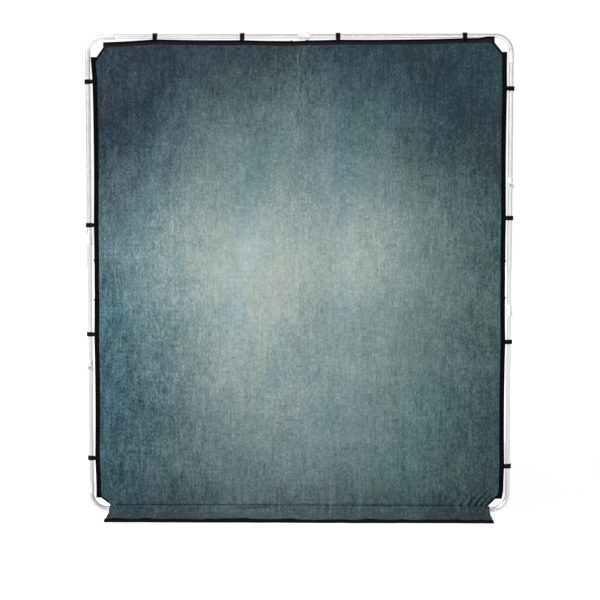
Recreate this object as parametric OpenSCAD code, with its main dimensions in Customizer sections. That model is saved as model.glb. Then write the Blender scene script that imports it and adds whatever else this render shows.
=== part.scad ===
// Collapsible backdrop panel: a folding tube frame with a clip-on cloth cover and a skirt
// that runs out over the floor. X runs across the panel, Y from its front to its back and
// Z up. The origin is on the floor, under the middle of the whole object.

/* [Frame] */
// Width over the outsides of the two uprights
frame_w = 2000; // [1990:1:2040]
// Height of the top tube's upper side above the floor
frame_h = 2255; // [2245:1:2300]
// Outer diameter of the tube
tube_d = 22; // [21.5:0.1:22]
// Wall thickness of the tube
tube_wall = 1.5; // [1.4:0.1:1.6]
// Radius of the bent corners on the tube's centre line
corner_r = 75; // [60:1:75]
// Length of one side section, from joint to joint
section_len = 597; // [570:1:600]
// Length of a corner's short leg, from the corner to its joint
short_leg = 88; // [87:1:100]
// How far the top and bottom middle joints sit from the panel's centre line
mid_offset = 25; // [0:1:60]

/* [Joints] */
// Outer diameter of the moulded couplings
coupling_d = 26; // [25.5:0.1:26]
// Length of half a coupling
half_len = 27; // [26:1:30]
// Distance from the tube's centre line to a hinge pin
pin_offset = 18; // [18:0.5:19]
// Diameter of a hinge pin
pin_d = 5; // [4:0.5:5]
// Diameter of a hinge knuckle
knuckle_d = 10; // [10:0.5:10.5]
// Width of the middle knuckle along the pin
knuckle_w = 8; // [6:0.5:8]
// Diameter of a lock button
button_d = 8; // [7:0.5:8]

/* [Clips] */
// Length of a clip along the tube
clip_len = 21; // [18:1:22]
// Wall thickness of a clip
clip_wall = 3; // [2.5:0.1:3]
// How far a clip's finger lip reaches from the tube's centre line, which lifts the frame
clip_reach = 16; // [15.5:0.5:17]
// How far a clip's arm reaches inwards from the tube's centre line
clip_arm = 19; // [18.5:0.5:19]

/* [Cover] */
// Distance from the tube's centre line to the cover's edge
cover_inset = 20; // [20:0.5:24]
// Thickness of the backdrop cloth
cloth_t = 1; // [0.8:0.1:1]
// Width of the edge webbing
webbing_w = 23; // [20:1:25]
// Thickness of the edge webbing
webbing_t = 2.5; // [2.5:0.1:3]
// Width and height of the cut across each corner of the cover
corner_cut = 34; // [30:1:45]
// Width of the floor skirt
skirt_w = 1770; // [1700:10:1800]
// How far the skirt lies forward of the frame
skirt_reach = 215; // [150:5:300]
// Width of the hem on the skirt's front edge
hem_w = 20; // [15:1:25]

/* [Hidden] */

$fn = 64;
eps = 1;  // how far a cutting tool runs past the face it cuts

tube_r = tube_d / 2;
bore_r = tube_r - tube_wall;
axis_x = (frame_w - tube_d) / 2;
low_z = clip_reach;
top_z = frame_h - tube_r;
frame_y = (skirt_reach - pin_offset - knuckle_d / 2) / 2;
side_leg = top_z - low_z - short_leg - 2 * section_len;
mid_leg = axis_x - mid_offset;
mid_span = 2 * axis_x - short_leg - mid_leg;

// A joint's place is [x, z, turn]: turn points its own Z along the tube, away from the
// section that carries it, or away from the corner at a push-fit coupling.
right_lower = [axis_x, low_z + side_leg, 0];
right_upper = [axis_x, right_lower[1] + section_len, 0];
top_mid = [mid_offset, top_z, -90];
bottom_mid = [-mid_offset, low_z, -90];
left_lower = [-axis_x, low_z + short_leg + section_len, 0];
closing = [-axis_x, left_lower[1] + section_len, 0];
bottom_right_push = [axis_x - short_leg, low_z, -90];
top_right_push = [axis_x, top_z - short_leg, 180];
top_left_push = [-axis_x + short_leg, top_z, 90];
bottom_left_push = [-axis_x, low_z + short_leg, 0];

butt_gap = 0.25;      // between a hinge half's face and the joint's own plane
web_t = 2.75;         // wall across the end of a hinge half, which the tube butts against
tube_end = butt_gap + web_t;
flange_t = 1.5;       // ring between the two tubes in a push-fit coupling
sleeve_near = 12;     // reach of a push-fit sleeve over the corner's short leg
sleeve_far = 38;      // and over the straight tube
spigot_near = 11;     // short, because the corner's bend starts just past it
spigot_far = 60;
spigot_wall = 2;
fit_gap = 0.1;
lug_t = 5;            // each outer knuckle, along the pin
lug_gap = 0.2;
knuckle_gap = 0.4;    // between a knuckle and the notch that it turns in
pin_head_r = 3.5;
pin_head_t = 1.5;
housing_r = 7;
housing_offset = 9.5; // from the tube's centre line to the housing's own
housing_w = 13;       // middle of the button housing, along the tube from the joint
button_low = 13.4;
button_top = 18.4;
trough_gap = 0.6;     // round the tube end in the closing saddle
plug_len = 42;

rivet_r = 1.6;
rivet_head_r = 3.2;
rivet_head_t = 1.6;
rivet_reach = 7;      // where a rivet's tail ends, from the tube's centre line
hinge_rivet = 20;     // from a hinge joint to its rivets
push_rivet = 49;
plug_rivet = 36;

// A rivet is [place, distance along the tube, direction of its head, radius it sits on]
inward = 180;
outward = 0;
forward = -90;
coupling_r = coupling_d / 2;
bottom_right_rivet_list = [
    [right_lower, -hinge_rivet, inward, coupling_r], [bottom_mid, -hinge_rivet, inward, coupling_r],
    [bottom_right_push, push_rivet, forward, tube_r]];
right_middle_rivet_list = [
    [right_lower, hinge_rivet, inward, coupling_r], [right_upper, -hinge_rivet, inward, coupling_r]];
top_right_rivet_list = [
    [right_upper, hinge_rivet, inward, coupling_r], [top_mid, -hinge_rivet, inward, coupling_r],
    [top_right_push, push_rivet, forward, tube_r]];
top_left_rivet_list = [
    [top_mid, hinge_rivet, inward, coupling_r], [closing, plug_rivet, forward, tube_r],
    [top_left_push, push_rivet, forward, tube_r]];
bottom_left_rivet_list = [
    [bottom_mid, hinge_rivet, inward, coupling_r], [left_lower, -hinge_rivet, outward, coupling_r],
    [bottom_left_push, push_rivet, forward, tube_r]];
left_middle_rivet_list = [
    [left_lower, hinge_rivet, outward, coupling_r], [closing, -hinge_rivet, outward, coupling_r]];

// Where the clips sit on each side: heights on the uprights, X on the top and bottom tubes
left_clip_z = [260, 850, 1365, 2035];
right_clip_z = [226, 816, 1398, 2000];
top_clip_x = [-673, -265, 182, 772];
bottom_clip_x = [-772, -182, 265, 673];

// The cover's edges and its layers, measured forward of the tubes' plane
edge_x = axis_x - cover_inset;
edge_top = top_z - cover_inset;
edge_low = low_z + cover_inset;
cloth_back = 8.75;
cloth_front = cloth_back + cloth_t;
webbing_front = cloth_front + (webbing_t - cloth_t) / 2;
strap_t = 1.2;
strap_w = 18;
strap_len = 23;
side_tab_top = 92;    // from the top tube's centre line down to the side webbing's end
binding_in = webbing_w * sqrt(2);
skirt_t = 1.5;
hem_t = 2;

// The skirt's centre line from its seam to its front edge, as [forward, height]
skirt_path = [
    [cloth_back + cloth_t / 2, edge_low], [19, 27], [20.5, 10], [30, skirt_t / 2],
    [skirt_reach - hem_w, skirt_t / 2]];

// --- placing -------------------------------------------------------------------------

module at_place(place) {
    translate([place[0], frame_y, place[1]]) rotate([0, place[2], 0]) children();
}

module at_corner(right, top) {
    translate([right ? axis_x : -axis_x, frame_y, top ? top_z : low_z])
        mirror([right ? 1 : 0, 0, 0]) mirror([0, 0, top ? 1 : 0]) children();
}

// Stands a flat XZ outline up in the cover's plane, between two distances in front of it
module in_cover(back, front) {
    translate([0, frame_y - back, 0]) rotate([90, 0, 0]) linear_extrude(front - back) children();
}

module rivet_axis(rivet) {
    at_place(rivet[0]) translate([0, 0, rivet[1]]) rotate([0, 0, rivet[2]]) rotate([0, 90, 0]) children();
}

module drilled(rivets) {
    difference() {
        children();
        for (rivet = rivets)
            rivet_axis(rivet) translate([0, 0, rivet_reach - eps]) cylinder(h = coupling_r, r = rivet_r);
    }
}

// --- tubes ---------------------------------------------------------------------------

module straight_tube(place, from, to, rivets) {
    color("silver") drilled(rivets)
        at_place(place) translate([0, 0, from]) difference() {
            cylinder(h = to - from, r = tube_r);
            translate([0, 0, -eps]) cylinder(h = to - from + 2 * eps, r = bore_r);
        }
}

module corner_solid(up, across, r, over) {
    translate([0, 0, corner_r]) cylinder(h = up - corner_r + over, r = r);
    translate([corner_r, 0, 0]) rotate([0, 90, 0]) cylinder(h = across - corner_r + over, r = r);
    translate([corner_r, 0, corner_r]) rotate([90, 0, 0]) rotate([0, 0, 180])
        rotate_extrude(angle = 90) translate([corner_r, 0]) circle(r);
}

module corner_tube(right, top, up, across, rivets) {
    color("silver") drilled(rivets)
        at_corner(right, top) difference() {
            corner_solid(up, across, tube_r, 0);
            corner_solid(up, across, bore_r, eps);
        }
}

module bottom_right_corner_tube() {
    corner_tube(true, false, side_leg - tube_end, short_leg - flange_t / 2, bottom_right_rivet_list);
}
module bottom_tube() {
    straight_tube(bottom_right_push, flange_t / 2, mid_span - tube_end, bottom_right_rivet_list);
}
module right_middle_tube() {
    straight_tube(right_lower, tube_end, section_len - tube_end, right_middle_rivet_list);
}
module right_upper_tube() {
    straight_tube(right_upper, tube_end, section_len - flange_t / 2, top_right_rivet_list);
}
module top_right_corner_tube() {
    corner_tube(true, true, short_leg - flange_t / 2, mid_leg - tube_end, top_right_rivet_list);
}
module top_tube() {
    straight_tube(top_left_push, flange_t / 2, mid_span - tube_end, top_left_rivet_list);
}
module top_left_corner_tube() {
    corner_tube(false, true, side_leg - tube_end, short_leg - flange_t / 2, top_left_rivet_list);
}
module left_middle_tube() {
    straight_tube(left_lower, tube_end, section_len - tube_end, left_middle_rivet_list);
}
module left_lower_tube() {
    straight_tube(bottom_left_push, flange_t / 2, section_len - tube_end, bottom_left_rivet_list);
}
module bottom_left_corner_tube() {
    corner_tube(false, false, short_leg - flange_t / 2, mid_leg - tube_end, bottom_left_rivet_list);
}

// --- couplings -----------------------------------------------------------------------

// Push-fit coupling: a sleeve outside both tubes, a spigot inside them and a ring between
module push_coupling(place, rivets) {
    spigot_r = bore_r - fit_gap;
    rim = 0.8;
    color("gainsboro") drilled(rivets) at_place(place) rotate_extrude() polygon([
        [spigot_r - spigot_wall, -spigot_near], [spigot_r - rim, -spigot_near],
        [spigot_r, -spigot_near + rim], [spigot_r, -flange_t / 2], [tube_r, -flange_t / 2],
        [tube_r, -sleeve_near], [coupling_r - rim, -sleeve_near], [coupling_r, -sleeve_near + rim],
        [coupling_r, sleeve_far - rim], [coupling_r - rim, sleeve_far], [tube_r, sleeve_far],
        [tube_r, flange_t / 2], [spigot_r, flange_t / 2], [spigot_r, spigot_far],
        [spigot_r - spigot_wall, spigot_far]]);
}

module bottom_right_coupling() {
    push_coupling(bottom_right_push, bottom_right_rivet_list);
}
module top_right_coupling() {
    push_coupling(top_right_push, top_right_rivet_list);
}
module top_left_coupling() {
    push_coupling(top_left_push, top_left_rivet_list);
}
module bottom_left_coupling() {
    push_coupling(bottom_left_push, bottom_left_rivet_list);
}

// --- hinges --------------------------------------------------------------------------

// The outside of half a hinge, lying above the joint's plane, before it is bored
module collar_solid() {
    rim = 0.8;
    lead = 4;
    rotate_extrude() polygon([
        [0, butt_gap], [coupling_r - rim, butt_gap], [coupling_r, butt_gap + rim],
        [coupling_r, half_len - lead], [tube_r + rim, half_len], [0, half_len]]);
}

module collar_bore() {
    translate([0, 0, tube_end]) cylinder(h = half_len, r = tube_r);
}

// A knuckle between two distances along the pin, with the web that ties it to its collar
module knuckle(from, to) {
    r = knuckle_d / 2;
    translate([from, 0, 0]) rotate([90, 0, 90]) linear_extrude(to - from) {
        translate([pin_offset, 0]) circle(r);
        polygon([
            [tube_r / 2, butt_gap], [pin_offset, butt_gap], [pin_offset + 0.7 * r, 0.7 * r],
            [coupling_r, half_len - 9], [tube_r / 2, half_len - 9]]);
    }
}

// The notch that lets the other half's knuckle turn
module knuckle_notch(from, to) {
    along_pin(from, to, knuckle_d / 2 + knuckle_gap);
}

module along_pin(from, to, r) {
    translate([from, pin_offset, 0]) rotate([0, 90, 0]) cylinder(h = to - from, r = r);
}

lug_in = knuckle_w / 2 + lug_gap;
lug_out = lug_in + lug_t;

module button_housing() {
    lead = 3;
    length = 20;
    translate([housing_offset, 0, housing_w]) rotate_extrude() polygon([
        [0, -length / 2], [housing_r - lead, -length / 2], [housing_r, -length / 2 + lead],
        [housing_r, length / 2 - lead], [housing_r - lead, length / 2], [0, length / 2]]);
}

module button_well() {
    r = button_d / 2 + fit_gap;
    translate([tube_r - eps, 0, housing_w]) rotate([0, 90, 0]) cylinder(h = coupling_r, r = r);
}

// Half that carries the pin: built below the joint's plane. side is 1 for a pin at the
// back, -1 for one at the front; out is 1 where the joint's own X points outwards.
module hinge_base(place, side, out, rivets) {
    color("gainsboro") drilled(rivets) at_place(place)
        mirror([out < 0 ? 1 : 0, 0, 0]) mirror([0, side < 0 ? 1 : 0, 0]) mirror([0, 0, 1])
            difference() {
                union() {
                    collar_solid();
                    button_housing();
                    knuckle(lug_in, lug_out);
                    knuckle(-lug_out, -lug_in);
                }
                collar_bore();
                button_well();
                knuckle_notch(-lug_in, lug_in);
                along_pin(-lug_out - eps, lug_out + eps, pin_d / 2);
            }
}

// Half that swings: built above the joint's plane, with the middle knuckle
module hinge_arm(place, side, rivets) {
    clear = lug_gap;
    color("gainsboro") drilled(rivets) at_place(place) mirror([0, side < 0 ? 1 : 0, 0])
        difference() {
            union() {
                collar_solid();
                knuckle(-knuckle_w / 2, knuckle_w / 2);
            }
            collar_bore();
            knuckle_notch(knuckle_w / 2, lug_out + clear);
            knuckle_notch(-lug_out - clear, -knuckle_w / 2);
            along_pin(-lug_out, lug_out, pin_d / 2 + fit_gap);
        }
}

module hinge_pin(place, side) {
    color("dimgray") at_place(place) mirror([0, side < 0 ? 1 : 0, 0]) {
        along_pin(-lug_out - eps, lug_out, pin_d / 2);
        along_pin(lug_out, lug_out + pin_head_t, pin_head_r);
    }
}

module right_lower_hinge_base() {
    hinge_base(right_lower, 1, 1, bottom_right_rivet_list);
}
module right_lower_hinge_arm() {
    hinge_arm(right_lower, 1, right_middle_rivet_list);
}
module right_lower_hinge_pin() {
    hinge_pin(right_lower, 1);
}
module right_upper_hinge_base() {
    hinge_base(right_upper, -1, 1, right_middle_rivet_list);
}
module right_upper_hinge_arm() {
    hinge_arm(right_upper, -1, top_right_rivet_list);
}
module right_upper_hinge_pin() {
    hinge_pin(right_upper, -1);
}
module top_hinge_base() {
    hinge_base(top_mid, 1, 1, top_right_rivet_list);
}
module top_hinge_arm() {
    hinge_arm(top_mid, 1, top_left_rivet_list);
}
module top_hinge_pin() {
    hinge_pin(top_mid, 1);
}
module bottom_hinge_base() {
    hinge_base(bottom_mid, 1, 1, bottom_right_rivet_list);
}
module bottom_hinge_arm() {
    hinge_arm(bottom_mid, 1, bottom_left_rivet_list);
}
module bottom_hinge_pin() {
    hinge_pin(bottom_mid, 1);
}
module left_hinge_base() {
    hinge_base(left_lower, -1, -1, bottom_left_rivet_list);
}
module left_hinge_arm() {
    hinge_arm(left_lower, -1, left_middle_rivet_list);
}
module left_hinge_pin() {
    hinge_pin(left_lower, -1);
}

// --- closing joint -------------------------------------------------------------------

// Half-round trough on top of the left middle section, open to the back
module closing_saddle() {
    color("gainsboro") drilled(left_middle_rivet_list) at_place(closing) mirror([1, 0, 0])
        difference() {
            union() {
                mirror([0, 0, 1]) collar_solid();
                mirror([0, 0, 1]) button_housing();
                translate([0, 0, -eps]) cylinder(h = half_len + eps, r = coupling_r);
            }
            mirror([0, 0, 1]) collar_bore();
            mirror([0, 0, 1]) button_well();
            translate([0, 0, -butt_gap]) cylinder(h = half_len + eps, r = tube_r + trough_gap);
            translate([-coupling_d, 0, -butt_gap]) cube([2 * coupling_d, coupling_d, half_len + eps]);
        }
}

// Plug in the end of the top left corner section, which the trough receives
module closing_plug() {
    plug_r = bore_r - fit_gap;
    rim = 0.8;
    color("gainsboro") drilled(top_left_rivet_list) at_place(closing) rotate_extrude() polygon([
        [0, butt_gap + 0.1], [tube_r - rim, butt_gap + 0.1], [tube_r, butt_gap + rim], [tube_r, tube_end],
        [plug_r, tube_end], [plug_r, plug_len], [plug_r - spigot_wall, plug_len],
        [plug_r - spigot_wall, tube_end], [0, tube_end]]);
}

// --- lock buttons --------------------------------------------------------------------

module lock_button(place, out) {
    rim = 0.8;
    r = button_d / 2;
    color("whitesmoke") at_place(place) mirror([out < 0 ? 1 : 0, 0, 0])
        translate([0, 0, -housing_w]) rotate([0, 90, 0]) rotate_extrude() polygon([
            [0, button_low], [r, button_low], [r, button_top - rim], [r - rim, button_top], [0, button_top]]);
}

module right_lower_button() {
    lock_button(right_lower, 1);
}
module right_upper_button() {
    lock_button(right_upper, 1);
}
module top_button() {
    lock_button(top_mid, 1);
}
module bottom_button() {
    lock_button(bottom_mid, 1);
}
module left_button() {
    lock_button(left_lower, -1);
}
module closing_button() {
    lock_button(closing, -1);
}

// --- clips ---------------------------------------------------------------------------

// Snap ring round the tube, open on the inner side, with a slotted arm for the strap.
// Its own X points outwards and its own Z runs along the tube. front is -1 for an arm
// behind the tube.
module clip(front) {
    ring_r = tube_r + clip_wall;
    slot_w = 3;
    slot_in = 2;
    mouth = [100 : 35 : 240];  // directions across the ring's open side
    mirror([0, front > 0 ? 1 : 0, 0]) difference() {
        translate([0, 0, -clip_len / 2]) linear_extrude(clip_len) difference() {
            union() {
                difference() {
                    circle(ring_r);
                    polygon(concat([[0, 0]], [for (a = mouth) 2 * ring_r * [cos(a), sin(a)]]));
                }
                translate([-clip_arm, tube_r]) square([clip_arm, clip_wall]);
                translate([ring_r - 1, -5]) square([clip_reach - ring_r + 1, 10]);
            }
            circle(tube_r + 0.02);
        }
        translate([-clip_arm + slot_in, tube_r - eps, -strap_w / 2 + 1])
            cube([slot_w, clip_wall + 2 * eps, strap_w - 2]);
    }
}

module clips_up(x, heights, out) {
    color([0.08, 0.08, 0.08]) for (z = heights)
        translate([x, frame_y, z]) mirror([out < 0 ? 1 : 0, 0, 0]) clip(1);
}

module clips_across(places, z, out, front) {
    color([0.08, 0.08, 0.08]) for (x = places)
        translate([x, frame_y, z]) rotate([0, -90, 0]) mirror([out < 0 ? 1 : 0, 0, 0]) clip(front);
}

module bottom_right_clips() {
    clips_up(axis_x, [right_clip_z[0], right_clip_z[1]], 1);
    clips_across([bottom_clip_x[2], bottom_clip_x[3]], low_z, -1, -1);
}
module right_middle_clip() {
    clips_up(axis_x, [right_clip_z[2]], 1);
}
module top_right_clips() {
    clips_up(axis_x, [right_clip_z[3]], 1);
    clips_across([top_clip_x[2], top_clip_x[3]], top_z, 1, 1);
}
module top_left_clips() {
    clips_up(-axis_x, [left_clip_z[2], left_clip_z[3]], -1);
    clips_across([top_clip_x[0], top_clip_x[1]], top_z, 1, 1);
}
module bottom_left_clips() {
    clips_up(-axis_x, [left_clip_z[0]], -1);
    clips_across([bottom_clip_x[0], bottom_clip_x[1]], low_z, -1, -1);
}
module left_middle_clip() {
    clips_up(-axis_x, [left_clip_z[1]], -1);
}

// --- rivets --------------------------------------------------------------------------

module rivets(rivet_list) {
    color("lightgray") for (rivet = rivet_list)
        rivet_axis(rivet) rotate_extrude() polygon([
            [0, rivet_reach], [rivet_r, rivet_reach], [rivet_r, rivet[3]], [rivet_head_r, rivet[3]],
            [rivet_head_r, rivet[3] + rivet_head_t / 3], [rivet_head_r * 0.6, rivet[3] + rivet_head_t],
            [0, rivet[3] + rivet_head_t]]);
}

module bottom_right_rivets() {
    rivets(bottom_right_rivet_list);
}
module right_middle_rivets() {
    rivets(right_middle_rivet_list);
}
module top_right_rivets() {
    rivets(top_right_rivet_list);
}
module top_left_rivets() {
    rivets(top_left_rivet_list);
}
module bottom_left_rivets() {
    rivets(bottom_left_rivet_list);
}
module left_middle_rivets() {
    rivets(left_middle_rivet_list);
}

// --- cover ---------------------------------------------------------------------------

inner_x = edge_x - webbing_w;
inner_top = edge_top - webbing_w;
side_end = top_z - side_tab_top;
top_end = inner_x - corner_cut;
low_end = edge_low + corner_cut;
low_cut_x = inner_x - corner_cut;
in_top = side_end - binding_in;
in_low = low_end + binding_in;

module backdrop_cloth() {
    x_top = inner_x - (inner_top - in_top);
    x_low = inner_x - (in_low - edge_low);
    color("darkslategray") in_cover(cloth_back, cloth_front) polygon([
        [-x_low, edge_low], [x_low, edge_low], [inner_x, in_low], [inner_x, in_top],
        [x_top, inner_top], [-x_top, inner_top], [-inner_x, in_top], [-inner_x, in_low]]);
}

module corner_bindings() {
    back = webbing_front - webbing_t;
    x_top = inner_x - (inner_top - in_top);
    x_low = inner_x - (in_low - edge_low);
    color([0.08, 0.08, 0.08]) for (side = [0, 1]) mirror([side, 0, 0]) {
        in_cover(back, webbing_front) polygon([
            [inner_x, in_top], [inner_x, side_end], [top_end, side_end + corner_cut],
            [top_end, inner_top], [x_top, inner_top]]);
        in_cover(back, webbing_front) polygon([
            [x_low, edge_low], [low_cut_x, edge_low], [inner_x, low_end], [inner_x, in_low]]);
    }
}

module side_webbing(side) {
    color([0.08, 0.08, 0.08]) mirror([side < 0 ? 1 : 0, 0, 0])
        in_cover(webbing_front - webbing_t, webbing_front)
            translate([inner_x, low_end]) square([webbing_w, side_end - low_end]);
}

module left_webbing() {
    side_webbing(-1);
}
module right_webbing() {
    side_webbing(1);
}
module top_webbing() {
    color([0.08, 0.08, 0.08]) in_cover(webbing_front - webbing_t, webbing_front)
        translate([-top_end, inner_top]) square([2 * top_end, webbing_w]);
}
// Along the bottom the webbing lies behind the cloth
module bottom_webbing() {
    x_low = inner_x - (in_low - edge_low);
    color([0.08, 0.08, 0.08]) in_cover(cloth_back - webbing_t, cloth_back)
        translate([-x_low, edge_low]) square([2 * x_low, webbing_w]);
}

module clip_straps() {
    low_front = cloth_back - webbing_t;
    start = clip_arm;
    color([0.08, 0.08, 0.08]) {
        in_cover(webbing_front, webbing_front + strap_t) {
            for (z = right_clip_z)
                translate([axis_x - start - strap_len, z - strap_w / 2]) square([strap_len, strap_w]);
            for (z = left_clip_z)
                translate([-axis_x + start, z - strap_w / 2]) square([strap_len, strap_w]);
            for (x = top_clip_x)
                translate([x - strap_w / 2, top_z - start - strap_len]) square([strap_w, strap_len]);
        }
        in_cover(low_front - strap_t, low_front) for (x = bottom_clip_x)
            translate([x - strap_w / 2, low_z + start]) square([strap_w, strap_len]);
    }
}

// Outline of a strip of even thickness along a path
function side_of(path, i) = let (
        a = path[max(i - 1, 0)],
        b = path[min(i + 1, len(path) - 1)],
        d = (b - a) / norm(b - a)
    ) [-d[1], d[0]];
function strip(path, t) = concat(
    [for (i = [0 : len(path) - 1]) path[i] + side_of(path, i) * t / 2],
    [for (i = [len(path) - 1 : -1 : 0]) path[i] - side_of(path, i) * t / 2]);

// Turns a [forward, height] outline to face along X, centred across the panel
module across_panel(width) {
    translate([-width / 2, frame_y, 0]) rotate([90, 0, 90]) linear_extrude(width) mirror([1, 0]) children();
}

module floor_skirt() {
    outline = strip(skirt_path, skirt_t);
    color("slategray") across_panel(skirt_w) intersection() {
        polygon(outline);
        square([skirt_reach - hem_w, edge_low]);
    }
}

module skirt_hem() {
    color([0.08, 0.08, 0.08]) across_panel(skirt_w)
        translate([skirt_reach - hem_w, 0]) square([hem_w, hem_t]);
}

bottom_right_corner_tube();
bottom_tube();
right_middle_tube();
right_upper_tube();
top_right_corner_tube();
top_tube();
top_left_corner_tube();
left_middle_tube();
left_lower_tube();
bottom_left_corner_tube();
bottom_right_coupling();
top_right_coupling();
top_left_coupling();
bottom_left_coupling();
right_lower_hinge_base();
right_lower_hinge_arm();
right_lower_hinge_pin();
right_upper_hinge_base();
right_upper_hinge_arm();
right_upper_hinge_pin();
top_hinge_base();
top_hinge_arm();
top_hinge_pin();
bottom_hinge_base();
bottom_hinge_arm();
bottom_hinge_pin();
left_hinge_base();
left_hinge_arm();
left_hinge_pin();
closing_saddle();
closing_plug();
right_lower_button();
right_upper_button();
top_button();
bottom_button();
left_button();
closing_button();
bottom_right_clips();
right_middle_clip();
top_right_clips();
top_left_clips();
bottom_left_clips();
left_middle_clip();
bottom_right_rivets();
right_middle_rivets();
top_right_rivets();
top_left_rivets();
bottom_left_rivets();
left_middle_rivets();
backdrop_cloth();
left_webbing();
right_webbing();
top_webbing();
bottom_webbing();
corner_bindings();
clip_straps();
floor_skirt();
skirt_hem();
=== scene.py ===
import math
import random

import bmesh
import bpy
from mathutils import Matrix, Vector, noise


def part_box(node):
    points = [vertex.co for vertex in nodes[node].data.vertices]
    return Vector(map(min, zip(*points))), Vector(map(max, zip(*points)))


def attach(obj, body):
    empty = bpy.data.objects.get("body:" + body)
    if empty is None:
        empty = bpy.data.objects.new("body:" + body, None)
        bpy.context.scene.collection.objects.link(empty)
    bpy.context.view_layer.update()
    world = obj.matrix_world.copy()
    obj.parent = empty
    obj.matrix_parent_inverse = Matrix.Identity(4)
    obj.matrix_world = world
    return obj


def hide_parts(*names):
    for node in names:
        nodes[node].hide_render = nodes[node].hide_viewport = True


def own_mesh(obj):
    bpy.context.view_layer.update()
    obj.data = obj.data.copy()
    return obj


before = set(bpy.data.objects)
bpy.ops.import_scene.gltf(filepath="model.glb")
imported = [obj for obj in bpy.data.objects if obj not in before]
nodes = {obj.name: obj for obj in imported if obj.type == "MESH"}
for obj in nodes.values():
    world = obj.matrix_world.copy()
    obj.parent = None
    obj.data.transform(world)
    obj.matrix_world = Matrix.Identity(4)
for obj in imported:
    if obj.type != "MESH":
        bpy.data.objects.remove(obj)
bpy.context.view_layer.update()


def middle(node, axis):
    low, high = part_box(node)
    return (low[axis] + high[axis]) / 2


# Places taken from the frame
tubeY = middle("right_middle_tube", 1)          # plane of the tubes' centre lines
rightAxis = middle("right_middle_tube", 0)
topAxis = middle("top_tube", 2)
lowAxis = middle("bottom_tube", 2)
tubeRadius = (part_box("top_tube")[1].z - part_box("top_tube")[0].z) / 2
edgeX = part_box("right_webbing")[1].x            # the cover's edges as cut
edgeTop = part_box("top_webbing")[1].z
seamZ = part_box("backdrop_cloth")[0].z

# The camera's place and tilt, in metres and degrees, then the floor, the room and the lights
camera = {"lens": 67.45, "away": 5.3, "across": 0.073, "height": 1.275, "down": 2.835, "turn": 0.74}
studio = {"floorTint": (0.50, 0.50, 0.50, 1.0), "floorSize": 60.0, "floorLevel": -0.0006, "floorGlow": 0.68,
          "worldLight": 0.66, "worldSeen": 1.02, "lowGrey": (0.62, 0.62, 0.63, 1), "greyUpTo": 0.3,
          "whiteFrom": 0.75,
          "sunLight": 4.0, "sunSoftness": 7.0, "sunHeight": 36.0, "sunSide": -48.0,
          "fillLight": 10.0, "fillSize": 2.6, "fillPlace": (2.2, -3.4, 2.4), "fillAim": 1.1}


def addNode(tree, kind, sockets, **options):
    # a node with its options set and each socket given a value or linked to another node's output
    node = tree.nodes.new(kind)
    for option, value in options.items():
        setattr(node, option, value)
    for socket, value in sockets.items():
        if isinstance(value, bpy.types.NodeSocket):
            tree.links.new(value, node.inputs[socket])
        else:
            node.inputs[socket].default_value = value
    return node


def addObject(name, data):
    made = bpy.data.objects.new(name, data)
    bpy.context.scene.collection.objects.link(made)
    return made


def makeCamera(settings):
    data = bpy.data.cameras.new("viewCamera")
    data.lens, data.sensor_width = settings["lens"], 36.0
    data.clip_start, data.clip_end = 0.1, 200.0
    made = addObject("viewCamera", data)
    made.location = (settings["across"], tubeY - settings["away"], settings["height"])
    made.rotation_euler = (math.radians(90 - settings["down"]), 0, math.radians(settings["turn"]))
    bpy.context.scene.camera = made


def makeFloor(settings):
    size, level = settings["floorSize"], settings["floorLevel"]
    mesh = bpy.data.meshes.new("floor")
    corners = [(-size, -size, level), (size, -size, level), (size, size, level), (-size, size, level)]
    mesh.from_pydata(corners, [], [(0, 1, 2, 3)])
    floor = addObject("floor", mesh)
    paint = bpy.data.materials.new("floorPaint")
    paint.use_nodes = True
    shader = paint.node_tree.nodes["Principled BSDF"]
    shader.inputs["Base Color"].default_value = settings["floorTint"]
    shader.inputs["Roughness"].default_value = 0.95
    shader.inputs["Specular IOR Level"].default_value = 0.1
    shader.inputs["Emission Color"].default_value = (1, 1, 1, 1)
    shader.inputs["Emission Strength"].default_value = settings["floorGlow"]
    mesh.materials.append(paint)


def makeRoom(settings):
    # what the camera sees is white; what lights the panel is greyer towards the ground
    world = bpy.data.worlds.new("paleRoom")
    world.use_nodes = True
    tree = world.node_tree
    tree.nodes.clear()
    place = addNode(tree, "ShaderNodeTexCoord", {})
    split = addNode(tree, "ShaderNodeSeparateXYZ", {0: place.outputs["Generated"]})
    half = addNode(tree, "ShaderNodeMath", {0: split.outputs["Z"], 1: 0.5, 2: 0.5}, operation="MULTIPLY_ADD")
    ramp = addNode(tree, "ShaderNodeValToRGB", {0: half.outputs[0]})
    low, high = ramp.color_ramp.elements
    low.position, low.color = settings["greyUpTo"], settings["lowGrey"]
    high.position, high.color = settings["whiteFrom"], (1, 1, 1, 1)
    lit = addNode(tree, "ShaderNodeBackground", {0: ramp.outputs[0], 1: settings["worldLight"]})
    seen = addNode(tree, "ShaderNodeBackground", {0: (1, 1, 1, 1), 1: settings["worldSeen"]})
    path = addNode(tree, "ShaderNodeLightPath", {})
    pick = addNode(tree, "ShaderNodeMixShader", {0: path.outputs["Is Camera Ray"], 1: lit.outputs[0],
                                                 2: seen.outputs[0]})
    addNode(tree, "ShaderNodeOutputWorld", {0: pick.outputs[0]})
    bpy.context.scene.world = world


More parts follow.
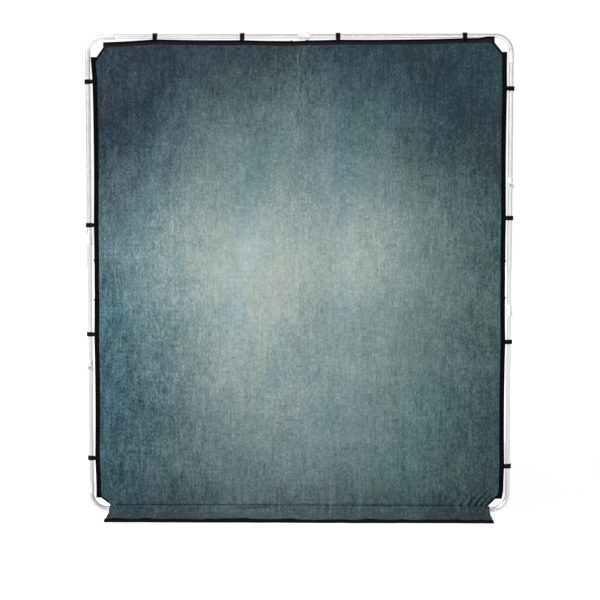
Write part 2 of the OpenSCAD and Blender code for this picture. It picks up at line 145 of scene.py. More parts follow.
def makeLights(settings):
    sunData = bpy.data.lights.new("softKey", "SUN")
    sunData.energy, sunData.angle = settings["sunLight"], math.radians(settings["sunSoftness"])
    sun = addObject("softKey", sunData)
    sun.rotation_euler = (math.radians(90 - settings["sunHeight"]), 0, math.radians(settings["sunSide"]))

    fillData = bpy.data.lights.new("frontFill", "AREA")
    fillData.energy, fillData.size, fillData.shape = settings["fillLight"], settings["fillSize"], "DISK"
    fill = addObject("frontFill", fillData)
    fill.location = settings["fillPlace"]
    aim = Vector((0, tubeY, settings["fillAim"])) - fill.location
    fill.rotation_euler = aim.to_track_quat("-Z", "Y").to_euler()


makeCamera(camera)
makeFloor(studio)
makeRoom(studio)
makeLights(studio)
bpy.context.scene.view_settings.view_transform = "Standard"
print("camera and studio ready")


def newGroup(name, inputs, outputs):
    # an empty shader group, for an effect that several materials share
    group = bpy.data.node_groups.new(name, "ShaderNodeTree")
    for label, kind, value in inputs:
        socket = group.interface.new_socket(label, in_out="INPUT", socket_type="NodeSocket" + kind)
        if value is not None:
            socket.default_value = value
    for label, kind in outputs:
        group.interface.new_socket(label, in_out="OUTPUT", socket_type="NodeSocket" + kind)
    return group, group.nodes.new("NodeGroupInput"), group.nodes.new("NodeGroupOutput")


def addMath(tree, operation, *values):
    return addNode(tree, "ShaderNodeMath", dict(enumerate(values)), operation=operation).outputs[0]


def addNoise(tree, place, scale, detail=3.0, rough=0.55, stretch=(1, 1, 1), warp=0.0):
    shift = addNode(tree, "ShaderNodeMapping", {"Scale": stretch, "Vector": place})
    cloud = addNode(tree, "ShaderNodeTexNoise", {"Scale": scale, "Detail": detail, "Roughness": rough,
                                                 "Distortion": warp, "Vector": shift.outputs[0]})
    return cloud.outputs["Fac"]


def addRange(tree, value, low, high, toLow, toHigh, smooth=False):
    limits = {"From Min": low, "From Max": high, "To Min": toLow, "To Max": toHigh, "Value": value}
    form = "SMOOTHSTEP" if smooth else "LINEAR"
    node = addNode(tree, "ShaderNodeMapRange", limits, interpolation_type=form)
    return node.outputs["Result"]


def addMix(tree, share, first, second, blend="MIX"):
    node = addNode(tree, "ShaderNodeMix", {"Factor": share}, data_type="RGBA", blend_type=blend)
    for socket, value in zip([each for each in node.inputs if each.type == "RGBA"], (first, second)):
        if isinstance(value, tuple):
            socket.default_value = value
        else:
            tree.links.new(value, socket)
    return next(each for each in node.outputs if each.type == "RGBA")


def buildThreadWeave():
    # plain weave: two crossing sets of threads, one over and one under by turns
    group, gIn, gOut = newGroup("threadWeave", [
        ("Place", "Vector", None), ("Threads Per Metre", "Float", 800.0), ("Unevenness", "Float", 0.3)],
        [("Height", "Float"), ("Shade", "Float")])
    split = addNode(group, "ShaderNodeSeparateXYZ", {0: gIn.outputs["Place"]})
    wobble = addNoise(group, gIn.outputs["Place"], 60.0, 2.0)
    push = addMath(group, "MULTIPLY", wobble, gIn.outputs["Unevenness"])
    turns = addMath(group, "MULTIPLY", gIn.outputs["Threads Per Metre"], math.pi)
    warpWave = addMath(group, "SINE", addMath(group, "MULTIPLY_ADD", split.outputs["X"], turns,
                                              addMath(group, "MULTIPLY", push, 14.0)))
    weftWave = addMath(group, "SINE", addMath(group, "MULTIPLY_ADD", split.outputs["Z"], turns,
                                              addMath(group, "MULTIPLY", push, 11.0)))
    cross = addMath(group, "MULTIPLY", warpWave, weftWave)
    height = addMath(group, "MULTIPLY_ADD", cross, 0.5, 0.5)
    shade = addMath(group, "MULTIPLY_ADD", height, 0.22, 0.89)
    group.links.new(height, gOut.inputs["Height"])
    group.links.new(shade, gOut.inputs["Shade"])
    return group


def buildScuffing():
    # faint scratches and handling marks, for metal and mouldings
    group, gIn, gOut = newGroup("scuffing", [
        ("Place", "Vector", None), ("Scale", "Float", 60.0), ("Amount", "Float", 0.5)],
        [("Mask", "Float"), ("Grain", "Float")])
    place, scale = gIn.outputs["Place"], gIn.outputs["Scale"]
    fine = addNode(group, "ShaderNodeTexNoise", {"Detail": 5.0, "Roughness": 0.65, "Vector": place,
                                                 "Scale": scale})
    bent = addNode(group, "ShaderNodeVectorMath", {0: place, 1: (2.6, 2.2, 0.7)}, operation="MULTIPLY")
    coarser = addMath(group, "MULTIPLY", scale, 0.45)
    scratch = addNode(group, "ShaderNodeTexVoronoi", {"Vector": bent.outputs[0], "Scale": coarser},
                      feature="DISTANCE_TO_EDGE")
    lines = addRange(group, scratch.outputs["Distance"], 0.0, 0.028, 1.0, 0.0)
    patches = addRange(group, fine.outputs["Fac"], 0.52, 0.72, 0.0, 1.0, True)
    mask = addMath(group, "MULTIPLY", addMath(group, "MULTIPLY", lines, patches), gIn.outputs["Amount"])
    group.links.new(mask, gOut.inputs["Mask"])
    group.links.new(fine.outputs["Fac"], gOut.inputs["Grain"])
    return group


# Pools are soft spots of paint on the flat cover: middle and spread, both across and up in metres, and
# strength. A cloud is a noise: scale, detail, roughness, stretch and distortion.
painting = {
    "light": [((-0.10, 1.04), (1.00, 0.96), 0.615), ((-0.34, 1.24), (0.36, 0.36), 0.13),
              ((0.33, 1.22), (0.34, 0.36), 0.10), ((0.02, 0.52), (0.70, 0.30), 0.07),
              ((0.05, 0.88), (0.32, 0.30), -0.045), ((-0.05, 1.75), (0.55, 0.35), 0.02),
              ((-0.80, 1.20), (0.26, 0.45), 0.09), ((0.08, 1.12), (0.10, 0.42), -0.05),
              ((-0.58, 0.62), (0.10, 0.42), -0.06), ((0.16, 1.95), (0.35, 0.16), 0.02),
              ((-0.95, 2.20), (0.40, 0.55), -0.20), ((0.0, 2.26), (1.5, 0.26), -0.05),
              ((0.92, 0.20), (0.42, 0.42), -0.04), ((0.98, 2.10), (0.42, 0.70), -0.14),
              ((-0.85, 0.45), (0.20, 0.30), -0.05), ((0.05, 0.12), (0.8, 0.26), 0.10)],
    "darkest": 0.05,
    # the mottle: each cloud with its amount; it shows more where the cloth is dark, most down its left side
    "mottle": [((2.4, 4.0, 0.6, (1.25, 1, 0.8), 0.4), 0.22), ((9.0, 4.0, 0.62, (1.2, 1, 0.85), 0.3), 0.15),
               ((20.0, 3.0, 0.6, (1.5, 1, 0.75), 0.5), 0.17), ((46.0, 3.0, 0.7, (1.25, 1, 0.8), 0.3), 0.26),
               ((92.0, 2.0, 0.65, (1.2, 1, 0.8), 0.0), 0.33), ((30.0, 2.0, 0.6, (2.6, 1, 0.22), 0.2), 0.17),
               ((150.0, 2.0, 0.7, (1.3, 1, 0.7)), 0.32)],
    "mottleRange": (0.35, 0.85, 1.34, 0.74),
    "mottlePools": [((-0.80, 0.85), (0.36, 0.75), 0.80), ((0.10, 2.25), (1.30, 0.50), -0.20)],
    # drifts of other colours: a cloud, where it starts and is full, its strength, and the pools added to it
    "drifts": {
        "Blue Drift": ((1.9, 3.0, 0.55, (1.6, 1, 0.7)), (0.42, 0.66), 0.55,
                       [((-0.86, 1.15), (0.26, 0.62), 0.70), ((-0.78, 0.45), (0.3, 0.5), 0.35)]),
        "Green Drift": ((3.3, 3.0, 0.6, (1.3, 1.7, 0.9)), (0.47, 0.68), 0.6,
                        [((0.80, 1.0), (0.42, 1.5), 0.55)]),
        "Earth Drift": ((4.6, 4.0, 0.65, (1.7, 1.2, 0.8), 0.6), (0.52, 0.70), 0.75,
                        [((-0.55, 0.62), (0.10, 0.5), 0.40)]),
    },
    # plum paint lies only in its pools, broken up by a cloud
    "plumPools": [((-0.88, 1.92), (0.13, 0.42), 0.75), ((-0.66, 2.17), (0.34, 0.09), 0.65)],
    "plumCloud": (7.0, 3.0, 0.6, (1.5, 1, 0.7)),
    "plumRange": (0.36, 0.62, 0.25, 1.0),
}


def addPools(tree, place, pools):
    total = None
    for middleOf, spread, strength in pools:
        scale = (1 / spread[0], 0.0, 1 / spread[1])
        offset = (-middleOf[0] / spread[0], 0.0, -middleOf[1] / spread[1])
        shift = addNode(tree, "ShaderNodeMapping", {"Scale": scale, "Location": offset, "Vector": place})
        span = addNode(tree, "ShaderNodeVectorMath", {0: shift.outputs[0]}, operation="LENGTH")
        squared = addMath(tree, "MULTIPLY", span.outputs["Value"], span.outputs["Value"])
        fall = addMath(tree, "EXPONENT", addMath(tree, "MULTIPLY", squared, -1.0))
        pool = addMath(tree, "MULTIPLY", fall, strength)
        total = pool if total is None else addMath(tree, "ADD", total, pool)
    return total


def buildHandPainting(settings):
    # washes of paint: a light in the middle, cloudy edges, sponge marks and drifts of other colours
    drifts = settings["drifts"]
    group, gIn, gOut = newGroup("handPainting", [("Place", "Vector", None)],
                                [(label, "Float") for label in ["Light", *drifts, "Plum Drift"]])
    place = gIn.outputs["Place"]
    light = addMath(group, "MAXIMUM", addPools(group, place, settings["light"]), settings["darkest"])
    gain = addMath(group, "ADD", addRange(group, light, *settings["mottleRange"]),
                   addPools(group, place, settings["mottlePools"]))
    mottle = None
    for cloud, amount in settings["mottle"]:
        layer = addMath(group, "MULTIPLY_ADD", addNoise(group, place, *cloud), amount, -amount / 2)
        mottle = layer if mottle is None else addMath(group, "ADD", mottle, layer)
    light = addMath(group, "ADD", light, addMath(group, "MULTIPLY", mottle, gain))
    group.links.new(light, gOut.inputs["Light"])
    for label, (cloud, (start, full), strength, pools) in drifts.items():
        drift = addRange(group, addNoise(group, place, *cloud), start, full, 0.0, strength, True)
        group.links.new(addMath(group, "ADD", drift, addPools(group, place, pools)), gOut.inputs[label])
    broken = addRange(group, addNoise(group, place, *settings["plumCloud"]), *settings["plumRange"], True)
    group.links.new(addMath(group, "MULTIPLY", addPools(group, place, settings["plumPools"]), broken),
                    gOut.inputs["Plum Drift"])
    return group


threadWeave = buildThreadWeave()
scuffing = buildScuffing()
handPainting = buildHandPainting(painting)


def newMaterial(name, colour, roughness, metallic=0.0, specular=0.5):
    made = bpy.data.materials.new(name)
    made.use_nodes = True
    shader = made.node_tree.nodes["Principled BSDF"]
    shader.inputs["Base Color"].default_value = (*colour, 1.0)
    shader.inputs["Roughness"].default_value = roughness
    shader.inputs["Metallic"].default_value = metallic
    shader.inputs["Specular IOR Level"].default_value = specular
    made.diffuse_color = (*colour, 1.0)
    return made, made.node_tree, shader


def objectPlace(tree):
    return tree.nodes.new("ShaderNodeTexCoord").outputs["Object"]


def flatPlace(tree):
    # a fabric point's place on the flat piece it was cut from
    return addNode(tree, "ShaderNodeAttribute", {}, attribute_name="flatPlace").outputs["Vector"]


def heightOf(tree, place):
    return addNode(tree, "ShaderNodeSeparateXYZ", {0: place}).outputs["Z"]


def setColour(tree, shader, colour, roughness):
    tree.links.new(colour, shader.inputs["Base Color"])
    tree.links.new(roughness, shader.inputs["Roughness"])


def addGroup(tree, group, place, **values):
    sockets = {label.replace("_", " "): value for label, value in values.items()}
    return addNode(tree, "ShaderNodeGroup", {"Place": place, **sockets}, node_tree=group)


def addBump(tree, shader, height, distance):
    bump = addNode(tree, "ShaderNodeBump", {"Distance": distance, "Height": height})
    tree.links.new(bump.outputs[0], shader.inputs["Normal"])


def brushedTube(name, stretch):
    # satin anodised aluminium, drawn along the tube
    made, tree, shader = newMaterial(name, (0.68, 0.685, 0.69), 0.34, 1.0)
    place = objectPlace(tree)
    streaks = addNoise(tree, place, 1.0, 3.0, 0.6, stretch)
    haze = addNoise(tree, place, 7.0, 3.0, 0.6)
    marks = addGroup(tree, scuffing, place, Scale=38.0, Amount=0.6)
    worn = marks.outputs["Mask"]
    tint = addMix(tree, addRange(tree, streaks, 0.3, 0.7, 0.0, 1.0), (0.60, 0.605, 0.61, 1),
                  (0.75, 0.752, 0.755, 1))
    tint = addMix(tree, worn, tint, (0.66, 0.66, 0.67, 1))
    # the tubes are made darker from 1.1 m down to the floor
    lowDarkening = addRange(tree, heightOf(tree, place), 0.0, 1.1, 1.0, 0.0, True)
    tint = addMix(tree, lowDarkening, tint, (0.78, 0.78, 0.79, 1), "MULTIPLY")
    rough = addMath(tree, "ADD", addRange(tree, streaks, 0.3, 0.7, 0.27, 0.38),
                    addMath(tree, "MULTIPLY", haze, 0.09))
    setColour(tree, shader, tint, addMath(tree, "ADD", rough, addMath(tree, "MULTIPLY", worn, 0.2)))
    addBump(tree, shader, addMath(tree, "ADD", streaks, addMath(tree, "MULTIPLY", worn, -0.8)), 0.00004)
    return made


def moulding(name, light, dark, roughness, specular, wear=None):
    # spark-textured moulded plastic with faint flow marks and rubbed places
    made, tree, shader = newMaterial(name, light, roughness, 0.0, specular)
    place = objectPlace(tree)
    grain = addNoise(tree, place, 850.0, 2.0, 0.6)
    flow = addNoise(tree, place, 34.0, 4.0, 0.6, (1, 1, 0.5), 0.8)
    marks = addGroup(tree, scuffing, place, Scale=120.0, Amount=0.7)
    tint = addMix(tree, addRange(tree, flow, 0.32, 0.68, 0.0, 1.0, True), (*light, 1), (*dark, 1))
    tint = addMix(tree, marks.outputs["Mask"], tint, (*(wear or dark), 1))
    rough = addRange(tree, grain, 0.3, 0.7, roughness - 0.06, roughness + 0.07)
    rough = addMath(tree, "ADD", rough, addMath(tree, "MULTIPLY", marks.outputs["Mask"], 0.15))
    setColour(tree, shader, tint, rough)
    addBump(tree, shader, addMath(tree, "ADD", grain, marks.outputs["Grain"]), 0.00009)
    return made


def turnedMetal(name, colour, roughness):
    # small turned parts: fine grain, with darker scratches
    made, tree, shader = newMaterial(name, colour, roughness, 1.0)
    place = objectPlace(tree)
    grain = addNoise(tree, place, 420.0, 3.0, 0.6)
    marks = addGroup(tree, scuffing, place, Scale=260.0, Amount=0.8)
    tint = addMix(tree, addRange(tree, grain, 0.3, 0.7, 0.0, 1.0), (*[c * 0.9 for c in colour], 1),
                  (*colour, 1))
    tint = addMix(tree, marks.outputs["Mask"], tint, (*[c * 0.55 for c in colour], 1))
    setColour(tree, shader, tint, addRange(tree, grain, 0.3, 0.7, roughness - 0.07, roughness + 0.08))
    addBump(tree, shader, grain, 0.00003)
    return made


def wovenTape(name, colour, threads, inner=None):
    # narrow woven webbing, with a warp rib that runs along it, painted shade in its low threads and painted
    # light on its high threads, and patches of dust
    made, tree, shader = newMaterial(name, colour, 0.9, 0.0, 0.04)
    place = flatPlace(tree)
    weave = addGroup(tree, threadWeave, place, Threads_Per_Metre=threads, Unevenness=0.12)
    dust = addNoise(tree, place, 24.0, 4.0, 0.65, (1, 1, 0.6))
    # painted shade and light: the low threads darker and the high threads lighter, by the weave's height
    tint = addMix(tree, weave.outputs["Height"], (*[c * 0.55 for c in colour], 1),
                  (*[c * 1.5 for c in colour], 1))
    if inner is not None:       # the half of the tape away from its piped edge is paler
        paleHalf = addRange(tree, heightOf(tree, place), -0.0095, -0.0120, 0.0, 1.0, True)
        tint = addMix(tree, paleHalf, tint, (*inner, 1))
    tint = addMix(tree, addRange(tree, dust, 0.58, 0.85, 0.0, 0.08, True), tint, (0.025, 0.025, 0.028, 1))
    setColour(tree, shader, tint, addRange(tree, dust, 0.3, 0.7, 0.85, 0.96))
    addBump(tree, shader, weave.outputs["Height"], 0.00025)
    return made


# From darkest to lightest, with how light the paint is there; then the colours that drift over them, with
# the share of each at its strongest
canvas = {
    "tones": [(-0.20, (0.0040, 0.0090, 0.0140)), (0.04, (0.0140, 0.0270, 0.0350)),
              (0.20, (0.0385, 0.0640, 0.0715)), (0.48, (0.114, 0.161, 0.162)),
              (0.78, (0.290, 0.323, 0.299)), (1.0, (0.455, 0.465, 0.435))],
    "drifts": {"Blue Drift": ((0.060, 0.125, 0.175), 0.55), "Green Drift": ((0.158, 0.185, 0.138), 0.50),
               "Earth Drift": ((0.165, 0.145, 0.120), 0.42), "Plum Drift": ((0.190, 0.124, 0.182), 0.85)},
    "driftGain": 1.04, "threads": 620.0, "unevenness": 0.35, "sheen": 0.02,
}


def paintedCanvas(name, settings, paintedShade=1.0):
    # the painting, soaked into a plain weave; the last argument is painted shade, a darkening for a copy of
    # the cloth that faces up and catches more light
    tones = settings["tones"]
    made, tree, shader = newMaterial(name, tones[3][1], 0.82, 0.0, 0.10)
    place = flatPlace(tree)
    paint = addGroup(tree, handPainting, place)
    weave = addGroup(tree, threadWeave, place, Threads_Per_Metre=settings["threads"],
                     Unevenness=settings["unevenness"])
    ramp = tree.nodes.new("ShaderNodeValToRGB")
    steps = ramp.color_ramp.elements
    darkEnd, lightEnd = tones[0][0], tones[-1][0]
    steps[0].color, steps[1].color = (*tones[0][1], 1), (*tones[-1][1], 1)
    for light, tone in tones[1:-1]:
        steps.new((light - darkEnd) / (lightEnd - darkEnd)).color = (*tone, 1)
    tree.links.new(addRange(tree, paint.outputs["Light"], darkEnd, lightEnd, 0.0, 1.0), ramp.inputs[0])
    tint = ramp.outputs["Color"]
    for label, (tone, reach) in settings["drifts"].items():
        filtered = [min(1.0, part / max(tone) * settings["driftGain"]) for part in tone]
        wash = addMix(tree, 1.0, tint, (*filtered, 1), "MULTIPLY")
        tint = addMix(tree, addMath(tree, "MULTIPLY", paint.outputs[label], reach), tint, wash)
    shade = addMath(tree, "MULTIPLY", weave.outputs["Shade"], paintedShade)
    shaded = addNode(tree, "ShaderNodeVectorMath", {0: tint, "Scale": shade}, operation="SCALE")
    setColour(tree, shader, shaded.outputs[0], addRange(tree, paint.outputs["Light"], 0.0, 1.0, 0.90, 0.78))
    shader.inputs["Sheen Weight"].default_value = settings["sheen"]
    shader.inputs["Sheen Roughness"].default_value = 0.6
    addBump(tree, shader, weave.outputs["Height"], 0.00022)
    return made


tubeUpright = brushedTube("tubeUpright", (520, 520, 9))
tubeRail = brushedTube("tubeRail", (9, 520, 520))
tubeCorner = brushedTube("tubeCorner", (160, 160, 160))
couplingPlastic = moulding("couplingPlastic", (0.57, 0.58, 0.59), (0.48, 0.49, 0.50), 0.45, 0.4,
                           (0.40, 0.40, 0.41))
buttonPlastic = moulding("buttonPlastic", (0.36, 0.37, 0.385), (0.30, 0.31, 0.325), 0.38, 0.45,
                         (0.52, 0.52, 0.53))
clipPlastic = moulding("clipPlastic", (0.0030, 0.0030, 0.0032), (0.0020, 0.0020, 0.0022), 0.46, 0.05,
                       (0.010, 0.010, 0.011))
pinSteel = turnedMetal("pinSteel", (0.56, 0.565, 0.58), 0.28)
rivetMetal = turnedMetal("rivetMetal", (0.88, 0.885, 0.89), 0.24)
webbingTape = wovenTape("webbingTape", (0.0015, 0.0014, 0.0017), 520.0)
topTape = wovenTape("topTape", (0.0015, 0.0014, 0.0017), 520.0, inner=(0.0090, 0.0078, 0.0092))
strapTape = wovenTape("strapTape", (0.0024, 0.0023, 0.0027), 760.0)
hemTape = wovenTape("hemTape", (0.0024, 0.0033, 0.0042), 640.0)
threadBlack = moulding("threadBlack", (0.0045, 0.0045, 0.0050), (0.0030, 0.0030, 0.0034), 0.7, 0.03)
threadTeal = moulding("threadTeal", (0.035, 0.052, 0.060), (0.026, 0.040, 0.046), 0.7, 0.2)
clothFace = paintedCanvas("clothFace", canvas)
# the skirt's copy is painted 20% darker as shade, since it faces up to the light
skirtFaceShaded = paintedCanvas("skirtFaceShaded", canvas, 0.80)

# Finish by the end of a part's name; the first that fits is used
frameFinishes = [
    (("_corner_tube",), tubeCorner), (("middle_tube", "upper_tube", "lower_tube"), tubeUpright),
    (("_tube",), tubeRail),
    (("_button",), buttonPlastic), (("_pin",), pinSteel),
    (("_coupling", "_hinge_base", "_hinge_arm", "_saddle", "_plug"), couplingPlastic),
]
for name, cadPart in nodes.items():
    finish = next((made for ends, made in frameFinishes if name.endswith(ends)), None)
    if finish:
        cadPart.data.materials.clear()
        cadPart.data.materials.append(finish)
print("materials ready")

# Each edge list gives a place along the edge and how far the cover's edge is from the tube's centre line
# there. Between two places the edge sags inwards by "sag" for each metre of span.
cover = {
    "sag": 0.005, "pull": 0.30,
    "left": [(0.070, 0.0228), (0.150, 0.0230), (0.260, 0.0188), (0.850, 0.0200), (1.110, 0.0222),
             (1.365, 0.0222), (2.035, 0.0222), (2.152, 0.0142)],
    "right": [(0.070, 0.0275), (0.105, 0.0202), (0.226, 0.0168), (0.816, 0.0166), (1.110, 0.0192),
              (1.398, 0.0188), (2.000, 0.0190), (2.152, 0.0205)],
    "top": [(-0.912, 0.0270), (-0.673, 0.0132), (-0.265, 0.0178), (-0.034, 0.0222), (0.037, 0.0195),
            (0.182, 0.0165), (0.772, 0.0113), (0.842, 0.0102), (0.878, 0.0048), (0.912, 0.0042)],
    "clothBack": 0.00875, "clothThick": 0.0009, "webbingWide": 0.023, "cut": 0.034, "binding": 0.010,
    "lowCorner": 0.902,
}
leftClips = [0.260, 0.850, 1.365, 2.035]
rightClips = [0.226, 0.816, 1.398, 2.000]
topClips = [-0.673, -0.265, 0.182, 0.772]
bottomClips = [-0.772, -0.182, 0.265, 0.673]
clipPlaces = {"left": leftClips, "right": rightClips, "top": topClips, "bottom": bottomClips}
innerX = edgeX - cover["webbingWide"]
innerTop = edgeTop - cover["webbingWide"]
sideLow = seamZ + cover["cut"]
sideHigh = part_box("right_webbing")[1].z + 0.003


# The cut across the top and the bottom corner of each side, as distance from the middle and Z
topEnd = innerX - cover["cut"] - 0.0025
cutLines = {
    "left": [((innerX - 0.005, sideHigh), (topEnd, innerTop)),
             ((innerX, sideLow), (cover["lowCorner"] - 0.002, seamZ))],
    "right": [((innerX, sideHigh), (topEnd, innerTop - 0.003)),
              ((innerX - 0.007, sideLow), (cover["lowCorner"] + 0.002, seamZ))],
}


def smooth(value):
    value = min(1.0, max(0.0, value))
    return value * value * (3 - 2 * value)


def edgeInset(side, place):
    marks = cover[side]
    if place <= marks[0][0]:
        return marks[0][1]
    for (fromPlace, fromInset), (toPlace, toInset) in zip(marks, marks[1:]):
        if place <= toPlace:
            span = toPlace - fromPlace
            t = (place - fromPlace) / span
            return fromInset + (toInset - fromInset) * t + cover["sag"] * span * 4 * t * (1 - t)
    return marks[-1][1]


def bell(value, width):
    return math.exp(-(value / width) ** 2)


def ridge(x, z, start, heading, length, width):
    # 1 on a line from start, fading along its length and across its width
    direction = Vector((math.cos(math.radians(heading)), math.sin(math.radians(heading))))
    gap = Vector((x - start[0], z - start[1]))
    along = gap.dot(direction)
    across = gap.x * direction.y - gap.y * direction.x
    if along < -0.02 or along > length:
        return 0.0
    fade = smooth((along + 0.02) / 0.03) * (1 - smooth(along / length))
    return fade * bell(across, width * (0.55 + 0.9 * along / length))


# Each pucker is a start, a heading in degrees, a length, a width and a height, all in metres
puckers = [
    ((-0.940, 0.775), 58, 0.30, 0.0120, 0.0062), ((-0.940, 0.700), 60, 0.34, 0.0140, -0.0046),
    ((-0.940, 0.650), 62, 0.30, 0.0120, 0.0044), ((-0.940, 0.830), 50, 0.16, 0.0100, -0.0040),
    ((-0.940, 1.060), 80, 0.16, 0.0100, 0.0066), ((-0.925, 1.020), 84, 0.20, 0.0110, -0.0046),
    ((-0.860, 0.110), 35, 0.22, 0.0120, 0.0030), ((-0.700, 0.040), 62, 0.20, 0.0150, 0.0028),
    ((-0.420, 0.040), 70, 0.18, 0.0150, 0.0026), ((-0.230, 0.040), 112, 0.16, 0.0140, 0.0024),
    ((0.350, 0.040), 108, 0.17, 0.0150, 0.0026), ((0.480, 0.040), 75, 0.15, 0.0120, 0.0022),
    ((0.560, 0.037), 40, 0.08, 0.0075, 0.0034), ((0.175, 0.037), 40, 0.07, 0.0075, 0.0036),
    ((0.900, 2.170), 228, 0.22, 0.0130, 0.0032), ((-0.900, 2.170), 312, 0.20, 0.0130, 0.0030),
]
# The right end of the seam is gathered: place along it, heading, length, width and height of each fold
gathers = [(0.660, 58, 0.08, 0.0090, 0.0030), (0.712, 56, 0.09, 0.0085, 0.0044),
           (0.755, 54, 0.11, 0.0085, 0.0070), (0.792, 52, 0.14, 0.0090, 0.0108),
           (0.824, 50, 0.16, 0.0085, 0.0118), (0.854, 48, 0.15, 0.0085, 0.0112),
           (0.882, 46, 0.12, 0.0080, 0.0086)]
for seamPlace, heading, length, width, height in gathers:
    puckers.append(((seamPlace, seamZ), heading, length, width, height))
clipPulls = ([(-innerX, z, 0) for z in leftClips] + [(innerX, z, 180) for z in rightClips]
             + [(x, innerTop, 270) for x in topClips])
puckerDraw = random.Random(7)
for pullX, pullZ, heading in clipPulls:
    for spread in (-38, -12, 15, 40):
        puckers.append(((pullX, pullZ), heading + spread + puckerDraw.uniform(-5, 5),
                        puckerDraw.uniform(0.07, 0.14), 0.0065, puckerDraw.uniform(0.0006, 0.0013)))


# How the stretched cloth stands off its flat plane, in metres: broad and fine waves and the width over which
# they die out at the edges, the roll along the seam, the ease beside the webbing, how far back the cloth may
# go, and the widths over which it flattens beside the webbing and the cut corners
drape = {"broad": 0.0034, "fine": 0.0016, "edgeFade": 0.10, "seamFade": 0.06,
         "roll": 0.0020, "rollAt": 0.011, "rollWide": 0.009,
         "sideEase": 0.0013, "topEase": 0.0009, "easeAt": 0.009, "easeWide": 0.004,
         "backLow": 0.0002, "backHigh": 0.010, "tapeFlat": 0.012, "cutMargin": 0.006, "cutFlat": 0.022}


def noiseAt(x, y, z):
    return noise.noise(Vector((x, y, z)))


def billow(x, z):
    # how far the cloth's face stands forward of its flat plane
    fromSide, fromTop, fromSeam = innerX - abs(x), innerTop - z, z - seamZ
    inside = smooth(min(fromSide / drape["edgeFade"], fromTop / drape["edgeFade"],
                        fromSeam / drape["seamFade"]))
    broad = drape["broad"] * noiseAt(x * 1.7, 3.1, z * 1.5)
    fine = drape["fine"] * noiseAt(x * 5.2 + 4, 1.7, z * 3.6)
    forward = (broad + fine) * inside
    for start, heading, length, width, height in puckers:
        if abs(x - start[0]) < length and abs(z - start[1]) < length:
            forward += height * ridge(x, z, start, heading, length, width)
    seamRoll = drape["roll"] * bell(fromSeam - drape["rollAt"], drape["rollWide"]) * (
        0.65 + 0.5 * noiseAt(x * 9, 0, 0))
    # the webbing behind the lower edge holds the cloth forward
    floorShare = smooth((fromSeam - 0.02) / 0.03)
    ease = (drape["sideEase"] * bell(fromSide - drape["easeAt"], drape["easeWide"])
            + drape["topEase"] * bell(fromTop - drape["easeAt"], drape["easeWide"]))
    (lowX, cutTop), (cornerX, _) = cutLines["right" if x > 0 else "left"][1]
    cutX = cornerX + (lowX - cornerX) * min(1.0, fromSeam / (cutTop - seamZ))
    besideTape = (smooth(min(fromSide, fromTop) / drape["tapeFlat"])
                  * smooth((cutX - drape["cutMargin"] - abs(x)) / drape["cutFlat"]))
    return max(forward + ease, -drape["backLow"] - drape["backHigh"] * floorShare) * besideTape + seamRoll


def hang(x, z, forward):
    # puts a point of the flat cover, at a distance forward of the tubes, where the hung cover has it
    movedX, movedZ = x, z
    sideName = "right" if x > 0 else "left"
    reach = rightAxis - edgeInset(sideName, z) - edgeX
    sideShare = smooth(1 - (edgeX - abs(x)) / cover["pull"])
    movedX += reach * sideShare * (1 if x > 0 else -1)
    lift = topAxis - edgeInset("top", x) - edgeTop
    movedZ += lift * smooth(1 - (edgeTop - z) / cover["pull"])
    return Vector((movedX, tubeY - forward, movedZ))


def finishPiece(name, points, faces, material, flat=None, smoothFaces=True):
    mesh = bpy.data.meshes.new(name)
    mesh.from_pydata(points, [], faces)
    mesh.validate()
    if flat is not None:
        layer = mesh.attributes.new("flatPlace", "FLOAT_VECTOR", "POINT")
        layer.data.foreach_set("vector", [value for place in flat for value in place])
    mesh.polygons.foreach_set("use_smooth", [smoothFaces] * len(mesh.polygons))
    mesh.materials.append(material)
    return addObject(name, mesh)


def squareUp(made):
    # makes every face of a closed shell point outwards
    shell = bmesh.new()
    shell.from_mesh(made.data)
    bmesh.ops.recalc_face_normals(shell, faces=shell.faces)
    shell.to_mesh(made.data)
    shell.free()


def gridFaces(rows, columns):
    return [(r * columns + c, r * columns + c + 1, (r + 1) * columns + c + 1, (r + 1) * columns + c)
            for r in range(rows - 1) for c in range(columns - 1)]


def closedSheet(name, rows, columns, front, back, flat, material):
    # a sheet with a front, a back and a narrow wall all round
    count = rows * columns
    faces = gridFaces(rows, columns)
    faces += [tuple(count + i for i in reversed(face)) for face in faces]
    rim = ([(0, c) for c in range(columns - 1)] + [(r, columns - 1) for r in range(rows - 1)]
           + [(rows - 1, c) for c in range(columns - 1, 0, -1)] + [(r, 0) for r in range(rows - 1, 0, -1)])
    ring = [r * columns + c for r, c in rim]
    for first, second in zip(ring, ring[1:] + ring[:1]):
        faces.append((second, first, count + first, count + second))
    made = finishPiece(name, front + back, faces, material, flat + flat)
    squareUp(made)
    return made


def spacing(start, end, near, far, margin):
    # places from start to end, closer together within margin of either end
    places, here = [start], start
    while here < end:
        gap = min(here - start, end - here)
        here += near + (far - near) * smooth(gap / margin)
        places.append(min(here, end))
    if end - places[-2] < near * 0.5:
        places.pop(-2)
    return places


backdropSettings = {"near": 0.0040, "far": 0.0165, "margin": 0.34, "rowNear": 0.0034, "rowFar": 0.0150,
                    "tuck": 0.006}


